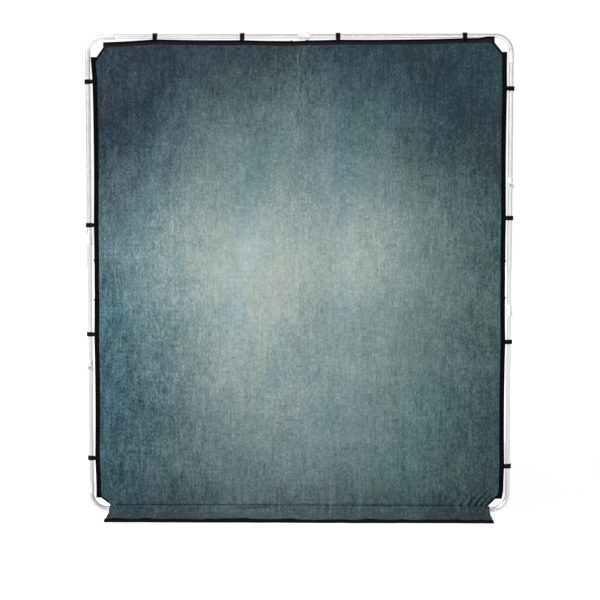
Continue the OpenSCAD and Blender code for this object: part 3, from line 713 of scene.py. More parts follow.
def makeBackdrop(settings):
    def halfWidth(side, z):
        wide = innerX + settings["tuck"]
        for (startX, startZ), (endX, endZ) in cutLines[side]:
            slope = (endX - startX) / (endZ - startZ)
            back = (cover["binding"] - 0.004) * math.sqrt(1 + slope * slope)
            wide = min(wide, startX + (z - startZ) * slope - back)
        return wide

    margin = settings["margin"]
    heights = spacing(seamZ, innerTop + settings["tuck"], settings["rowNear"], settings["rowFar"], margin)
    columns = spacing(-innerX, innerX, settings["near"], settings["far"], margin)
    shares = [value / innerX for value in columns]
    front, back, flat, area = [], [], [], 0.0
    for index, z in enumerate(heights):
        wide = {"left": halfWidth("left", z), "right": halfWidth("right", z)}
        if index:
            lower = heights[index - 1]
            lowerWide = halfWidth("left", lower) + halfWidth("right", lower)
            area += (z - lower) * (sum(wide.values()) + lowerWide) / 2
        for share in shares:
            x = share * wide["right" if share > 0 else "left"]
            forward = cover["clothBack"] + billow(x, z)
            back.append(hang(x, z, forward))
            front.append(hang(x, z, forward + cover["clothThick"]))
            flat.append((x, 0.0, z))
    made = closedSheet("backdropCloth", len(heights), len(shares), front, back, flat, clothFace)
    print("backdrop:", len(heights), "x", len(shares), "flat area", round(area, 3))
    return made, (2 * halfWidth("left", 1.0), heights[-1] - heights[0]), area


backdrop, backdropFlat, backdropArea = makeBackdrop(backdropSettings)
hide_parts("backdrop_cloth")

# Half of the webbing's section as inset from its outer edge and height off its middle, in millimetres
webbingSection = [(0.0, 0.0), (0.15, 0.75), (0.7, 1.35), (1.7, 1.62), (2.8, 1.45), (3.8, 1.08), (5.0, 1.00),
                  (9.0, 1.05), (14.0, 1.05), (19.0, 1.00), (21.4, 1.12), (22.4, 0.95), (22.9, 0.5),
                  (23.0, 0.0)]
webbingMiddle = 0.00925


def tapeLoop(section, wide):
    # closed loop of (share across, height) round a tape, both in metres
    scale = wide / section[-1][0]
    upper = [(inset * scale, height / 1000) for inset, height in section]
    return upper + [(inset, -height) for inset, height in reversed(upper[1:-1])]


def sweepTape(name, stations, loop, place, material):
    # joins copies of a section along a tape and closes both ends with strips across it; place gives a
    # point of the piece and its flat place
    points, flat, faces = [], [], []
    ring = len(loop)
    for station in stations:
        for across, height in loop:
            point, flatPoint = place(station, across, height)
            points.append(point)
            flat.append(flatPoint)
    for index in range(len(stations) - 1):
        for corner in range(ring):
            after = (corner + 1) % ring
            faces.append((index * ring + corner, index * ring + after,
                          (index + 1) * ring + after, (index + 1) * ring + corner))
    last = (len(stations) - 1) * ring
    half = ring // 2
    for base in (0, last):
        for corner in range(half):
            lowNow, lowNext = (ring - corner) % ring, (ring - corner - 1) % ring
            quad = [base + corner, base + corner + 1, base + lowNext, base + lowNow]
            unique = [v for i, v in enumerate(quad) if v not in quad[:i]]
            if len(unique) > 2:
                faces.append(tuple(unique))
    made = finishPiece(name, points, faces, material, flat)
    squareUp(made)
    return made


def stationsFor(low, high, step, extras=()):
    count = max(2, round((high - low) / step))
    places = {round(low + (high - low) * i / count, 6) for i in range(count + 1)}
    for extra in extras:
        places.update(round(extra + shift, 6) for shift in (-0.006, -0.004, -0.002, 0.0, 0.002, 0.004, 0.006)
                      if low < extra + shift < high)
    return sorted(places)


# Where a second length of webbing is let in, and its folded ends stand out
letIn = {"left": (1.014, 1.198), "right": (1.024, 1.196), "top": (-0.034, 0.037)}
foldHalf = 0.0045


def foldSwell(side, place):
    return max(bell(place - mark, foldHalf) for mark in letIn[side])


# Where the webbing's folded end is wider: side, place of the end and the share it gains
endFlares = [("right", sideLow, 0.30), ("left", sideHigh, 0.24), ("top", topEnd, 0.16)]


def webbingPlace(side):
    def place(station, across, height):
        swell = foldSwell(side, station)
        between = letIn[side][0] < station < letIn[side][1]
        spreadOut = swell * (0.0030 if across < 0.0115 else -0.0014)
        inset = across - spreadOut + (0.0008 if between and across < 0.012 else 0.0)
        for flareSide, flareEnd, share in endFlares:
            if flareSide == side:
                inset += across * share * smooth(1 - abs(station - flareEnd) / 0.030)
        thick = height * (1 + 0.75 * swell)
        if side == "top":
            wave = 0.0005 * noiseAt(station * 8, 0, 5)
            tip = smooth((abs(station) - 0.850) / 0.030)
            curl = (0.0046 if station > 0 else 0.0012) * tip
            forward = webbingMiddle + thick + wave + curl
            return hang(station, edgeTop - inset, forward), (station, 0.0, -across)
        sign = 1 if side == "right" else -1
        tip = smooth((station - sideHigh + 0.022) / 0.022) + smooth((sideLow + 0.022 - station) / 0.022)
        wave = 0.0006 * noiseAt(station * 7, sign * 4, 2) + 0.0016 * tip
        return hang(sign * (edgeX - inset), station, webbingMiddle + thick + wave), (station, 0.0, -across)
    return place


tapeRing = tapeLoop(webbingSection, cover["webbingWide"])
webbingPieces = {}
for side, low, high in (("left", sideLow, sideHigh), ("right", sideLow, sideHigh), ("top", -topEnd, topEnd)):
    piece = sweepTape(side + "Webbing", stationsFor(low, high, 0.0095, letIn[side]), tapeRing,
                      webbingPlace(side), topTape if side == "top" else webbingTape)
    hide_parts(side + "_webbing")
    webbingPieces[side] = piece


# the webbing is set 2.5 mm below the cloth's edge, so a black line shows under the seam as painted shade
def lowWebbingPlace(station, across, height):
    forward = 0.0075 + height * 0.95 + 0.0005 * noiseAt(station * 6, 2, 9)
    return Vector((station, tubeY - forward, seamZ - 0.0025 + across)), (station, 0.0, -across)


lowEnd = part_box("bottom_webbing")[1].x
lowWebbing = sweepTape("bottomWebbing", stationsFor(-lowEnd, lowEnd, 0.012), tapeRing, lowWebbingPlace,
                       webbingTape)
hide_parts("bottom_webbing")
webbingPieces["bottom"] = lowWebbing

bindingSection = [(0.0, 0.0), (0.2, 0.75), (0.8, 1.2), (1.8, 1.3), (5.0, 1.15), (8.2, 1.2), (9.4, 1.05),
                  (9.9, 0.5), (10.0, 0.0)]


def makeBindings():
    # a folded strip across each cut corner, running under the ends of the webbing
    ring = tapeLoop(bindingSection, cover["binding"])
    corners = [[(sign * x, z) for x, z in line]
               for side, sign in (("left", -1), ("right", 1)) for line in cutLines[side]]
    made = []
    for number, (start, end) in enumerate(corners):
        run = (Vector(end) - Vector(start)).normalized() * 0.012
        first = Vector(start) - run
        run = Vector(end) + run - first
        inward = Vector((-run.y, run.x)).normalized()
        if inward.dot(Vector((0, 1.1)) - first) < 0:
            inward = -inward

        def place(station, across, height, first=first, run=run, inward=inward):
            spot = first + run * station + inward * across
            rise = 0.0009 * math.sin(station * math.pi) - 0.0005
            return hang(spot.x, spot.y, webbingMiddle + height + rise), (station * run.length, 0.0, -across)

        stations = [i / 10 for i in range(11)]
        made.append(sweepTape("binding" + str(number), stations, ring, place, webbingTape))
    return joinPieces("cornerBindings", made)


def joinPieces(name, parts):
    shell = bmesh.new()
    for part in parts:
        shell.from_mesh(part.data)
    mesh = bpy.data.meshes.new(name)
    shell.to_mesh(mesh)
    shell.free()
    for material in parts[0].data.materials:
        mesh.materials.append(material)
    for part in parts:
        bpy.data.objects.remove(part)
    return addObject(name, mesh)


bindings = makeBindings()
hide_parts("corner_bindings")

strapSettings = {"wide": 0.018, "thick": 0.0011, "lap": 0.0125, "clipArm": 0.0192, "under": 0.0052,
                 "bottomEnd": 0.040, "forward": 0.01115, "lowForward": 0.00565, "sewnForward": 0.0119}


def strapReach(side, spot):
    # how far from the tube's centre line a strap ends
    if side == "bottom":
        return strapSettings["bottomEnd"]
    return max(edgeInset(side, spot) + strapSettings["lap"], strapSettings["clipArm"] + 0.008)


def makeStraps(settings):
    # a doubled strap from each clip's arm, lapped on to the webbing and stitched down
    half = settings["wide"] / 2
    edge = half - 0.0006
    outline = [(-half, 0.0), (-edge, 0.42), (edge, 0.42), (half, 0.0), (edge, -0.42), (-edge, -0.42)]
    parts = []
    for side, spot in [(side, spot) for side, spots in clipPlaces.items() for spot in spots]:
        axis = {"left": -rightAxis, "right": rightAxis, "top": topAxis, "bottom": lowAxis}[side]
        inward = {"left": 1, "right": -1, "top": -1, "bottom": 1}[side]
        strapEnd = strapReach(side, spot)
        points, faces, flat = [], [], []
        steps = 14
        for step in range(steps + 1):
            t = step / steps
            start = settings["clipArm"] - settings["under"]
            run = start + t * (strapEnd - start)
            tucked = 1 - smooth((t - 0.22) / 0.14)
            bulge = 0.00030 * math.sin(min(1.0, t * 1.6) * math.pi) - 0.00095 * tucked
            neck = 1 - 0.07 * math.sin(min(1.0, t * 2.2) * math.pi)
            for across, height in outline:
                rise = (height * settings["thick"] * (1.25 if t < 0.42 else 1.0)) + bulge
                place, sideways = axis + inward * run, spot + across * neck
                if side == "bottom":
                    points.append(Vector((sideways, tubeY - settings["lowForward"] + rise, place)))
                elif side == "top":
                    points.append(Vector((sideways, tubeY - settings["forward"] - rise, place)))
                else:
                    points.append(Vector((place, tubeY - settings["forward"] - rise, sideways)))
                flat.append((across, 0.0, run))
        ring = len(outline)
        for step in range(steps):
            for corner in range(ring):
                after = (corner + 1) % ring
                faces.append((step * ring + corner, step * ring + after, (step + 1) * ring + after,
                              (step + 1) * ring + corner))
        for base in (0, steps * ring):
            faces.append((base, base + 1, base + 4 + 1))
            faces.append((base + 1, base + 2, base + 4, base + 5))
            faces.append((base + 2, base + 3, base + 4))
        part = finishPiece("strap", points, faces, strapTape, flat)
        squareUp(part)
        parts.append(part)
    return joinPieces("clipStraps", parts)


straps = makeStraps(strapSettings)
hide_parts("clip_straps")
print("webbing, bindings and straps made")

# The path is the skirt's section from the seam to the hem: forward of the tubes, and height
skirt = {"seamHalf": 0.8995, "floorHalf": 0.8925, "thick": 0.0008, "slackGain": 1.55, "slackWide": 0.0048,
         "gatherGain": 0.9, "gatherTurn": 6, "gatherLength": 0.55,
         "path": [(0.0100, 0.0345), (0.0152, 0.0312), (0.0225, 0.0255), (0.0320, 0.0190), (0.0450, 0.0130),
                  (0.0640, 0.0080), (0.0900, 0.0046), (0.1200, 0.0030), (0.1500, 0.0030), (0.1700, 0.0050),
                  (0.1850, 0.0085), (0.1960, 0.0122)]}
# Long slack folds under the seam: middle, half length, drop below the seam, slope and height
slackFolds = [(-0.22, 0.24, 0.013, -0.030, 0.0082), (0.10, 0.22, 0.018, 0.045, 0.0074),
              (-0.02, 0.18, 0.027, 0.020, 0.0060), (0.30, 0.14, 0.021, -0.030, 0.0048),
              (-0.48, 0.17, 0.022, 0.040, 0.0050), (0.52, 0.20, 0.019, -0.030, 0.0046),
              (-0.74, 0.13, 0.017, 0.110, 0.0050), (-0.30, 0.16, 0.036, 0.030, 0.0044),
              (0.22, 0.14, 0.034, -0.040, 0.0042), (0.66, 0.12, 0.030, 0.080, 0.0040)]


def pathLengths(path):
    lengths = [0.0]
    for first, second in zip(path, path[1:]):
        lengths.append(lengths[-1] + math.dist(first, second))
    return lengths


def skirtPoint(x, along, lengths):
    # how far forward of the tubes and how high the skirt is, at a length along its path from the seam
    path = skirt["path"]
    index = max(i for i in range(len(path) - 1) if lengths[i] <= along + 1e-9 or i == 0)
    t = (along - lengths[index]) / (lengths[index + 1] - lengths[index])
    forward = path[index][0] + (path[index + 1][0] - path[index][0]) * t
    height = path[index][1] + (path[index + 1][1] - path[index][1]) * t
    push = 0.0
    for centre, half, drop, slope, amount in slackFolds:
        mask = smooth(1 - abs(x - centre) / half)
        fromFold = along - drop - slope * (x - centre)
        push += skirt["slackGain"] * amount * mask * bell(fromFold, skirt["slackWide"])
    for seamPlace, heading, length, width, amount in gathers:
        fold = ridge(x, along, (seamPlace, 0.001), heading - skirt["gatherTurn"],
                     length * skirt["gatherLength"], width)
        push += amount * skirt["gatherGain"] * fold
    belowSeam = smooth(along / 0.02)
    push += 0.0034 * max(0.0, noiseAt(x * 7.5, along * 30, 0.4)) * belowSeam
    push += 0.0022 * max(0.0, noiseAt(x * 21, along * 60, 1.4)) * belowSeam
    hung = smooth(1 - (along - 0.034) / 0.05)
    onFloor = smooth((along - 0.035) / 0.04)
    forward += push * hung
    ripple = max(0.0, noiseAt(x * 4.1, along * 10, 7.7) + 0.15) * 0.0100
    ripple += max(0.0, noiseAt(x * 15.0, along * 19, 2.2) + 0.1) * 0.0070
    height += onFloor * ripple + push * hung * 0.7
    nearHem = smooth((along - 0.12) / 0.09)
    forward += nearHem * (0.0035 * noiseAt(x * 2.3, 0.9, 4.0) + 0.0015 * noiseAt(x * 9, 3.0, 1.0))
    return forward, max(0.0004, height)


def makeSkirt():
    lengths = pathLengths(skirt["path"])
    total = lengths[-1]
    rowsAt = spacing(0.0, total, 0.0022, 0.0056, 0.06)
    columns = spacing(-skirt["seamHalf"], skirt["seamHalf"], 0.0042, 0.0105, 0.20)
    shares = [place / skirt["seamHalf"] for place in columns]
    front, back, flat, rowHalf, middles = [], [], [], [], []
    for along in rowsAt:
        half = skirt["seamHalf"] + (skirt["floorHalf"] - skirt["seamHalf"]) * smooth(along / total)
        row = []
        for share in shares:
            x = share * half
            forward, height = skirtPoint(x, along, lengths)
            row.append(Vector((x, tubeY - forward, height)))
            flat.append((x, 0.0, seamZ - along * 0.45))
        middles.append(row)
        rowHalf.append(half)
    for r, row in enumerate(middles):
        up, down = middles[max(0, r - 1)], middles[min(len(middles) - 1, r + 1)]
        for c, point in enumerate(row):
            sideways = row[min(len(row) - 1, c + 1)] - row[max(0, c - 1)]
            slope = down[c] - up[c]
            out = sideways.cross(slope).normalized()
            if out.y > 0 or (abs(out.y) < 0.2 and out.z < 0):
                out = -out
            front.append(point + out * skirt["thick"] / 2)
            back.append(point - out * skirt["thick"] / 2)
    made = closedSheet("floorSkirt", len(middles), len(shares), front, back, flat, skirtFaceShaded)
    return made, middles, (rowHalf[0] + rowHalf[-1], total)


floorSkirt, skirtRows, skirtFlat = makeSkirt()
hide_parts("floor_skirt")

hem = {"wide": 0.0205, "lap": 0.003, "pulledBack": 0.0035, "flare": 1.0022, "lift": 0.0021, "ripple": 0.0012,
       "lowest": 0.0002,
       "section": [(0.0, 0.0), (0.4, 0.9), (1.6, 1.75), (3.4, 2.1), (6.0, 2.0), (10.0, 1.55), (14.0, 1.25),
                   (18.0, 1.15), (19.8, 0.8), (20.5, 0.0)]}


def makeHem():
    # folded tape along the skirt's front edge, its rear edge lapping the skirt and its front on the floor
    edge = skirtRows[-1]

    def place(station, across, height):
        rear = edge[station]
        share = 1 - across / hem["wide"]              # 0 at the rear edge, 1 at the front
        start = Vector((rear.x, rear.y + hem["lap"], rear.z))
        frontHeight = hem["lift"] + hem["ripple"] * max(0.0, noiseAt(rear.x * 13, 6, 2))
        front = Vector((rear.x * hem["flare"], rear.y - hem["wide"] + hem["pulledBack"], frontHeight))
        lean = (front - start).normalized()
        out = Vector((0, lean.z, -lean.y))
        if out.z < 0:
            out = -out
        point = start.lerp(front, share) + out * height
        point.z = max(point.z, hem["lowest"])
        return point, (rear.x, 0.0, -across)

    loop = tapeLoop(hem["section"], hem["wide"])
    return sweepTape("skirtHem", list(range(len(edge))), loop, place, hemTape)


edging = {"wide": 0.0046, "overhang": 0.0012,
          "section": [(0.0, 0.0), (0.3, 0.9), (1.2, 1.15), (3.4, 1.1), (4.3, 0.8), (4.6, 0.0)]}


def makeEdging():
    # a narrow binding up each side edge of the skirt, from the hem to the seam
    loop = tapeLoop(edging["section"], edging["wide"])
    made = []
    for end, inward in ((0, 1), (-1, -1)):
        edge = [row[end] for row in skirtRows]

        def place(station, across, height, edge=edge, inward=inward):
            slope = (edge[min(len(edge) - 1, station + 1)] - edge[max(0, station - 1)]).normalized()
            out = Vector((0, slope.z, -slope.y)).normalized()
            if out.z < 0 or (abs(out.z) < 0.3 and out.y > 0):
                out = -out
            spot = edge[station] + Vector((inward * (across - edging["overhang"]), 0, 0)) + out * height
            spot.z = max(spot.z, hem["lowest"])
            return spot, (station, 0.0, -across)

        made.append(sweepTape("edging" + str(end), list(range(len(edge))), loop, place, webbingTape))
    return joinPieces("skirtEdging", made)


skirtEdging = makeEdging()
skirtHem = makeHem()
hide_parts("skirt_hem")
print("skirt and hem made")


def newTree(name, inputs):
    # an empty Geometry Nodes tree
    tree = bpy.data.node_groups.new(name, "GeometryNodeTree")
    tree.interface.new_socket("Geometry", in_out="INPUT", socket_type="NodeSocketGeometry")
    for label, kind, value in inputs:
        socket = tree.interface.new_socket(label, in_out="INPUT", socket_type="NodeSocket" + kind)
        if value is not None:
            socket.default_value = value
    tree.interface.new_socket("Geometry", in_out="OUTPUT", socket_type="NodeSocketGeometry")
    return tree, tree.nodes.new("NodeGroupInput"), tree.nodes.new("NodeGroupOutput")


def finishTree(tree, copies, gIn, gOut, smoothed):
    # turns the copies into plain faces with their material
    shape = addNode(tree, "GeometryNodeRealizeInstances", {0: copies.outputs[0]})
    if smoothed:
        shape = addNode(tree, "GeometryNodeSetShadeSmooth", {0: shape.outputs[0]})
    finish = gIn.outputs["Finish"]
    paint = addNode(tree, "GeometryNodeSetMaterial", {0: shape.outputs[0], "Material": finish})
    tree.links.new(paint.outputs[0], gOut.inputs[0])
    return tree


def buildStitching():
    # follows each line, one thread bead to a stitch, laid along the line
    tree, gIn, gOut = newTree("stitching", [
        ("Pitch", "Float", 0.006), ("Stitch Length", "Float", 0.0044), ("Thread", "Float", 0.0008),
        ("Looseness", "Float", 0.06), ("Seed", "Int", 3), ("Finish", "Material", None)])
    given = gIn.outputs
    curve = addNode(tree, "GeometryNodeMeshToCurve", {0: given["Geometry"]})
    spread = addNode(tree, "GeometryNodeResampleCurve",
                     {"Curve": curve.outputs[0], "Length": given["Pitch"]}, mode="LENGTH")
    heading = addNode(tree, "GeometryNodeInputTangent", {})
    turn = addNode(tree, "FunctionNodeAlignRotationToVector", {"Vector": heading.outputs[0]}, axis="X")
    ball = addNode(tree, "GeometryNodeMeshUVSphere", {"Segments": 6, "Rings": 4, "Radius": 0.5})
    size = addNode(tree, "ShaderNodeCombineXYZ", {"X": given["Stitch Length"], "Y": given["Thread"],
                                                  "Z": given["Thread"]})
    bead = addNode(tree, "GeometryNodeTransform", {"Geometry": ball.outputs[0], "Scale": size.outputs[0]})
    # each bead's size is between 1 - looseness and 1 + looseness
    loose = addNode(tree, "ShaderNodeCombineXYZ", {axis: given["Looseness"] for axis in "XYZ"})
    low, high = [addNode(tree, "ShaderNodeVectorMath", {0: loose.outputs[0], 1: (sign,) * 3, 2: (1.0,) * 3},
                         operation="MULTIPLY_ADD") for sign in (-1.0, 1.0)]
    vary = addNode(tree, "FunctionNodeRandomValue", {}, data_type="FLOAT_VECTOR")
    tree.links.new(low.outputs[0], vary.inputs[0])
    tree.links.new(high.outputs[0], vary.inputs[1])
    tree.links.new(given["Seed"], vary.inputs["Seed"])
    copies = addNode(tree, "GeometryNodeInstanceOnPoints", {
        "Points": spread.outputs[0], "Instance": bead.outputs[0], "Rotation": turn.outputs[0],
        "Scale": vary.outputs[0]})
    return finishTree(tree, copies, gIn, gOut, True)


def buildFastening():
    # puts one copy of a part on every point, turned as the point's own "turn" says
    tree, gIn, gOut = newTree("fastening", [("Part", "Object", None), ("Finish", "Material", None)])
    part = addNode(tree, "GeometryNodeObjectInfo", {"Object": gIn.outputs["Part"]})
    turn = addNode(tree, "GeometryNodeInputNamedAttribute", {"Name": "turn"}, data_type="FLOAT_VECTOR")
    angle = addNode(tree, "FunctionNodeEulerToRotation", {0: turn.outputs["Attribute"]})
    copies = addNode(tree, "GeometryNodeInstanceOnPoints", {
        "Points": gIn.outputs["Geometry"], "Instance": part.outputs["Geometry"],
        "Rotation": angle.outputs[0]})
    return finishTree(tree, copies, gIn, gOut, False)


def runTree(name, mesh, tree, values):
    # evaluates a tree once on a mesh and keeps the result as a plain mesh
    source = addObject(name + "Source", mesh)
    modifier = source.modifiers.new("tree", "NODES")
    modifier.node_group = tree
    for item in tree.interface.items_tree:
        if item.in_out == "INPUT" and item.name in values:
            modifier[item.identifier] = values[item.name]
    bpy.context.view_layer.update()
    grown = source.evaluated_get(bpy.context.evaluated_depsgraph_get())
    result = bpy.data.meshes.new_from_object(grown)
    result.name = name
    source.modifiers.remove(modifier)
    bpy.data.objects.remove(source)
    return addObject(name, result)


stitchTree = buildStitching()
fastenTree = buildFastening()


def lineMesh(name, lines):
    points, edges = [], []
    for line in lines:
        base = len(points)
        points += line
        edges += [(base + i, base + i + 1) for i in range(len(line) - 1)]
    mesh = bpy.data.meshes.new(name)
    mesh.from_pydata(points, edges, [])
    return mesh


def webbingRow(side, across, forward):
    low, high = (-topEnd, topEnd) if side == "top" else (sideLow, sideHigh)
    place = webbingPlace(side)
    return [place(station, across, forward)[0] for station in stationsFor(low + 0.005, high - 0.005, 0.008)]


def sew(name, lines, settings):
    made = runTree(name, lineMesh(name + "Lines", lines), stitchTree, settings)
    return made


def boxStitch(side, spot):
    # a square with a cross in it, where a strap is sewn to the webbing
    axis = {"left": -rightAxis, "right": rightAxis, "top": topAxis}[side]
    inward = 1 if side == "left" else -1
    near = axis + inward * (strapSettings["clipArm"] + 0.0025)
    far = axis + inward * (strapReach(side, spot) - 0.0015)
    half = strapSettings["wide"] / 2 - 0.0025
    corners = [(near, spot - half), (near, spot + half), (far, spot + half), (far, spot - half)]
    y = tubeY - strapSettings["sewnForward"]
    lines = []
    for run in (corners + corners[:1], corners[0::2], corners[1::2]):
        line = []
        for (a, b), (c, d) in zip(run, run[1:]):
            line += [(a + (c - a) * t / 4, b + (d - b) * t / 4) for t in range(4)]
        line.append(run[-1])
        lines.append([Vector((b, y, a)) if side == "top" else Vector((a, y, b)) for a, b in line])
    return lines


# Two rows along each webbing, near its outer and its inner edge
tapeLines = [webbingRow(side, across, 0.00125)
             for side in ("left", "right", "top") for across in (0.0052, 0.0205)]
for side in ("left", "right", "top"):
    for spot in clipPlaces[side]:
        tapeLines += boxStitch(side, spot)
tapeStitches = sew("tapeStitches", tapeLines, {
    "Pitch": 0.0058, "Stitch Length": 0.0042, "Thread": 0.0008, "Looseness": 0.07, "Seed": 5,
    "Finish": threadBlack})

clothLines = []
for drop in (0.0035, 0.0060):
    z = seamZ + drop
    clothLines.append([hang(x, z, cover["clothBack"] + cover["clothThick"] + billow(x, z) + 0.0001)
                       for x in spacing(-0.885, 0.885, 0.008, 0.009, 0.2)])
clothStitches = sew("clothStitches", clothLines, {
    "Pitch": 0.0052, "Stitch Length": 0.0038, "Thread": 0.0007, "Looseness": 0.08, "Seed": 9,
    "Finish": threadTeal})

hemLines = [[Vector((p.x, p.y - 0.0008, p.z + 0.0016)) for p in skirtRows[-1]]]
hemStitches = sew("hemStitches", hemLines, {
    "Pitch": 0.0058, "Stitch Length": 0.0042, "Thread": 0.0008, "Looseness": 0.08, "Seed": 12,
    "Finish": threadBlack})
print("stitching made")

# Revolved profile of a pop rivet's head, radius and height in millimetres
rivetProfile = [(0.0, 1.05), (0.75, 1.02), (0.95, 1.25), (1.05, 1.52), (1.35, 1.60), (1.9, 1.48),
                (2.5, 1.12), (2.95, 0.68), (3.18, 0.25), (3.2, 0.0), (1.6, 0.0), (1.6, -5.5), (0.0, -5.5)]


def makeRivetPart():
    shell = bmesh.new()
    turns = 20
    rings = []
    for radius, height in rivetProfile:
        if radius == 0.0:
            rings.append([shell.verts.new((0, 0, height / 1000))])
            continue
        angles = [2 * math.pi * i / turns for i in range(turns)]
        rings.append([shell.verts.new((radius / 1000 * math.cos(angle), radius / 1000 * math.sin(angle),
                                       height / 1000)) for angle in angles])
    for upper, lower in zip(rings, rings[1:]):
        for i in range(turns):
            j = (i + 1) % turns
            if len(upper) == 1:
                shell.faces.new((upper[0], lower[i], lower[j]))
            elif len(lower) == 1:
                shell.faces.new((upper[i], lower[0], upper[j]))
            else:
                shell.faces.new((upper[i], lower[i], lower[j], upper[j]))
    bmesh.ops.recalc_face_normals(shell, faces=shell.faces)
    mesh = bpy.data.meshes.new("rivetPart")
    shell.to_mesh(mesh)
    shell.free()
    mesh.polygons.foreach_set("use_smooth", [True] * len(mesh.polygons))
    return addObject("rivetPart", mesh)


clipShape = {"long": 0.021, "wall": 0.003, "gap": 0.00002, "arm": 0.019, "reach": 0.016, "lipHalf": 0.005,
             "slotIn": 0.002, "slotWide": 0.003, "slotLong": 0.016, "round": 0.00055, "ribDeep": 0.0009,
             "openFrom": -112}


def makeClipPart(shape):
    # snap ring open on the inner side, with a slotted arm, a finger lip and grip ribs; X points outwards
    inner, outer = tubeRadius + shape["gap"], tubeRadius + shape["wall"]
    lip = shape["lipHalf"]
    lipAngle = math.asin(lip / outer)
    start = math.radians(shape["openFrom"])

    def arc(radius, fromAngle, toAngle, count):
        return [(radius * math.cos(fromAngle + (toAngle - fromAngle) * i / count),
                 radius * math.sin(fromAngle + (toAngle - fromAngle) * i / count)) for i in range(count + 1)]

    outline = arc(outer, start, -lipAngle, 22)
    tip, root = shape["reach"], shape["reach"] - shape["ribDeep"]
    for rib in range(3):                           # three grip ribs on the lip
        mid = -lip + lip * 2 * (rib + 0.5) / 3
        outline += [(root, mid - lip / 3 + 0.0002), (tip, mid - lip / 7), (tip, mid + lip / 7),
                    (root, mid + lip / 3 - 0.0002)]
    outline += arc(outer, lipAngle, math.radians(90), 20)
    # the arm's rounded end, then back along its inner face
    arm = -shape["arm"]
    outline += [(arm + 0.0012, outer), (arm + 0.0003, outer - 0.0004), (arm, outer - 0.0013),
                (arm + 0.0004, inner + 0.0004), (arm + 0.0012, inner), (-0.004, inner)]
    outline += arc(inner, math.radians(90), start + 0.04, 44)
    flareX, flareY = inner * math.cos(start), inner * math.sin(start)
    outline += [(flareX * 1.06, flareY * 1.02)]

    shell = bmesh.new()
    half = shape["long"] / 2
    bottom = [shell.verts.new((x, -y, -half)) for x, y in outline]
    shell.faces.new(bottom)
    grown = bmesh.ops.extrude_face_region(shell, geom=list(shell.faces))
    moved = [v for v in grown["geom"] if isinstance(v, bmesh.types.BMVert)]
    bmesh.ops.translate(shell, verts=moved, vec=(0, 0, shape["long"]))
    bmesh.ops.recalc_face_normals(shell, faces=shell.faces)
    mesh = bpy.data.meshes.new("clipBlank")
    shell.to_mesh(mesh)
    shell.free()
    blank = addObject("clipBlank", mesh)

    slotStart, slotHalf = -shape["arm"] + shape["slotIn"], shape["slotLong"] / 2
    slotCutter = boxMesh("slotCutter", (slotStart, -outer - 0.002, -slotHalf),
                         (slotStart + shape["slotWide"], -inner + 0.002, slotHalf))
    cut = blank.modifiers.new("slot", "BOOLEAN")
    cut.operation, cut.solver, cut.object = "DIFFERENCE", "EXACT", slotCutter
    soften = blank.modifiers.new("soften", "BEVEL")
    soften.width, soften.segments, soften.limit_method = shape["round"], 2, "ANGLE"
    soften.angle_limit = math.radians(38)
    bpy.context.view_layer.update()
    result = bpy.data.meshes.new_from_object(blank.evaluated_get(bpy.context.evaluated_depsgraph_get()))
    bpy.data.objects.remove(blank)
    bpy.data.objects.remove(slotCutter)
    return addObject("clipPart", result)


def boxMesh(name, low, high):
    mesh = bpy.data.meshes.new(name)
    shell = bmesh.new()
    bmesh.ops.create_cube(shell, size=1.0)
    for v in shell.verts:
        v.co = Vector([low[i] + (v.co[i] + 0.5) * (high[i] - low[i]) for i in range(3)])
    shell.to_mesh(mesh)
    shell.free()
    return addObject(name, mesh)


def placePoints(name, places):
    mesh = bpy.data.meshes.new(name)
    mesh.from_pydata([place for place, turn in places], [], [])
    layer = mesh.attributes.new("turn", "FLOAT_VECTOR", "POINT")
    layer.data.foreach_set("vector", [value for place, turn in places for value in turn])
    return mesh


def fasten(name, places, part, finish, node, body):
    # copies of a part on their places, as one piece that stands for a node of the frame and rides its body
    piece = runTree(name, placePoints(name + "Points", places), fastenTree, {"Part": part, "Finish": finish})
    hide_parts(node)
    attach(piece, body)
    low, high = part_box(node)
    ours = [v.co for v in piece.data.vertices]
    miss = max(max(abs(min(c[i] for c in ours) - low[i]), abs(max(c[i] for c in ours) - high[i]))
               for i in range(3))
    print(name, "furthest from the frame's own:", round(miss * 1000, 2), "mm")
    return piece


clipPart = makeClipPart(clipShape)
rivetPart = makeRivetPart()
quarter = math.pi / 2

# Clips by the section that carries them, from that section's own stretch of each side
clipSets = {
    "bottomRightClips": ("bottom_right_clips", "root",
                         [("right", rightClips[:2]), ("bottom", bottomClips[2:])]),
    "rightMiddleClip": ("right_middle_clip", "right_middle", [("right", rightClips[2:3])]),
    "topRightClips": ("top_right_clips", "top_right", [("right", rightClips[3:]), ("top", topClips[2:])]),
    "topLeftClips": ("top_left_clips", "top_left", [("left", leftClips[2:]), ("top", topClips[:2])]),
    "bottomLeftClips": ("bottom_left_clips", "bottom_left",
                        [("left", leftClips[:1]), ("bottom", bottomClips[:2])]),
    "leftMiddleClip": ("left_middle_clip", "left_middle", [("left", leftClips[1:2])]),
}
# The clip's arm is at its own -Y, in front of the tube; a half turn about X or Y changes the side it
# opens to
clipTurns = {"right": (0.0, 0.0, 0.0), "left": (0.0, math.pi, 0.0), "top": (0.0, -quarter, 0.0),
             "bottom": (math.pi, quarter, 0.0)}
for name, (node, body, sides) in clipSets.items():
    places = []
    for side, spots in sides:
        for spot in spots:
            place = {"right": (rightAxis, tubeY, spot), "left": (-rightAxis, tubeY, spot),
                     "top": (spot, tubeY, topAxis), "bottom": (spot, tubeY, lowAxis)}[side]
            places.append((place, clipTurns[side]))
    fasten(name, places, clipPart, clipPlastic, node, body)

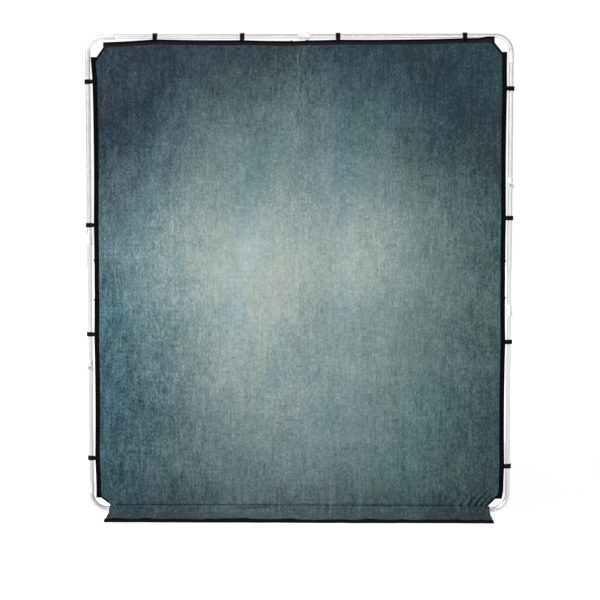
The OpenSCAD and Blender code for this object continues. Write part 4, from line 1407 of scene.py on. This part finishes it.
# Each rivet is a place on its tube's centre line, the way its head points, and the radius it sits on
collarRadius = 0.013
joints = {"rightLower": 0.962, "rightUpper": 1.559, "leftLower": 0.701, "closing": 1.298, "top": 0.025,
          "bottom": -0.025}
bends = {"across": 0.901, "high": 2.156, "low": 0.104}     # where the straight tubes meet the bends
fromJoint, fromBend, fromClosing = 0.020, 0.049, 0.036


def uprightRivet(joint, way, offset):
    return (rightAxis if way == "left" else -rightAxis, joints[joint] + offset), way, collarRadius


rivetSets = {
    "bottomRightRivets": ("bottom_right_rivets", "root", [
        uprightRivet("rightLower", "left", -fromJoint),
        ((joints["bottom"] + fromJoint, lowAxis), "up", collarRadius),
        ((bends["across"] - fromBend, lowAxis), "front", tubeRadius)]),
    "rightMiddleRivets": ("right_middle_rivets", "right_middle", [
        uprightRivet("rightLower", "left", fromJoint), uprightRivet("rightUpper", "left", -fromJoint)]),
    "topRightRivets": ("top_right_rivets", "top_right", [
        uprightRivet("rightUpper", "left", fromJoint),
        ((joints["top"] + fromJoint, topAxis), "down", collarRadius),
        ((rightAxis, bends["high"] - fromBend), "front", tubeRadius)]),
    "topLeftRivets": ("top_left_rivets", "top_left", [
        ((joints["top"] - fromJoint, topAxis), "down", collarRadius),
        ((-rightAxis, joints["closing"] + fromClosing), "front", tubeRadius),
        ((-bends["across"] + fromBend, topAxis), "front", tubeRadius)]),
    "bottomLeftRivets": ("bottom_left_rivets", "bottom_left", [
        ((joints["bottom"] - fromJoint, lowAxis), "up", collarRadius),
        uprightRivet("leftLower", "right", -fromJoint),
        ((-rightAxis, bends["low"] + fromBend), "front", tubeRadius)]),
    "leftMiddleRivets": ("left_middle_rivets", "left_middle", [
        uprightRivet("leftLower", "right", fromJoint), uprightRivet("closing", "right", -fromJoint)]),
}
headTurns = {"left": (0.0, -quarter, 0.0), "right": (0.0, quarter, 0.0), "up": (0.0, 0.0, 0.0),
             "down": (math.pi, 0.0, 0.0), "front": (quarter, 0.0, 0.0)}
headWays = {"left": (-1, 0, 0), "right": (1, 0, 0), "up": (0, 0, 1), "down": (0, 0, -1),
            "front": (0, -1, 0)}
for name, (node, body, spots) in rivetSets.items():
    places = []
    for (x, z), way, radius in spots:
        acrossStep, forwardStep, upStep = headWays[way]
        place = (x + acrossStep * radius, tubeY + forwardStep * radius, z + upStep * radius)
        places.append((place, headTurns[way]))
    fasten(name, places, rivetPart, rivetMetal, node, body)
bpy.data.objects.remove(clipPart)
bpy.data.objects.remove(rivetPart)
print("clips and rivets made")

# What rides with the cover, the two sheets with the rest
coverPieces = [backdrop, bindings, straps, floorSkirt, skirtHem, skirtEdging, tapeStitches, clothStitches,
               hemStitches, *webbingPieces.values()]
for piece in coverPieces:
    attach(piece, "cover")
    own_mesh(piece)
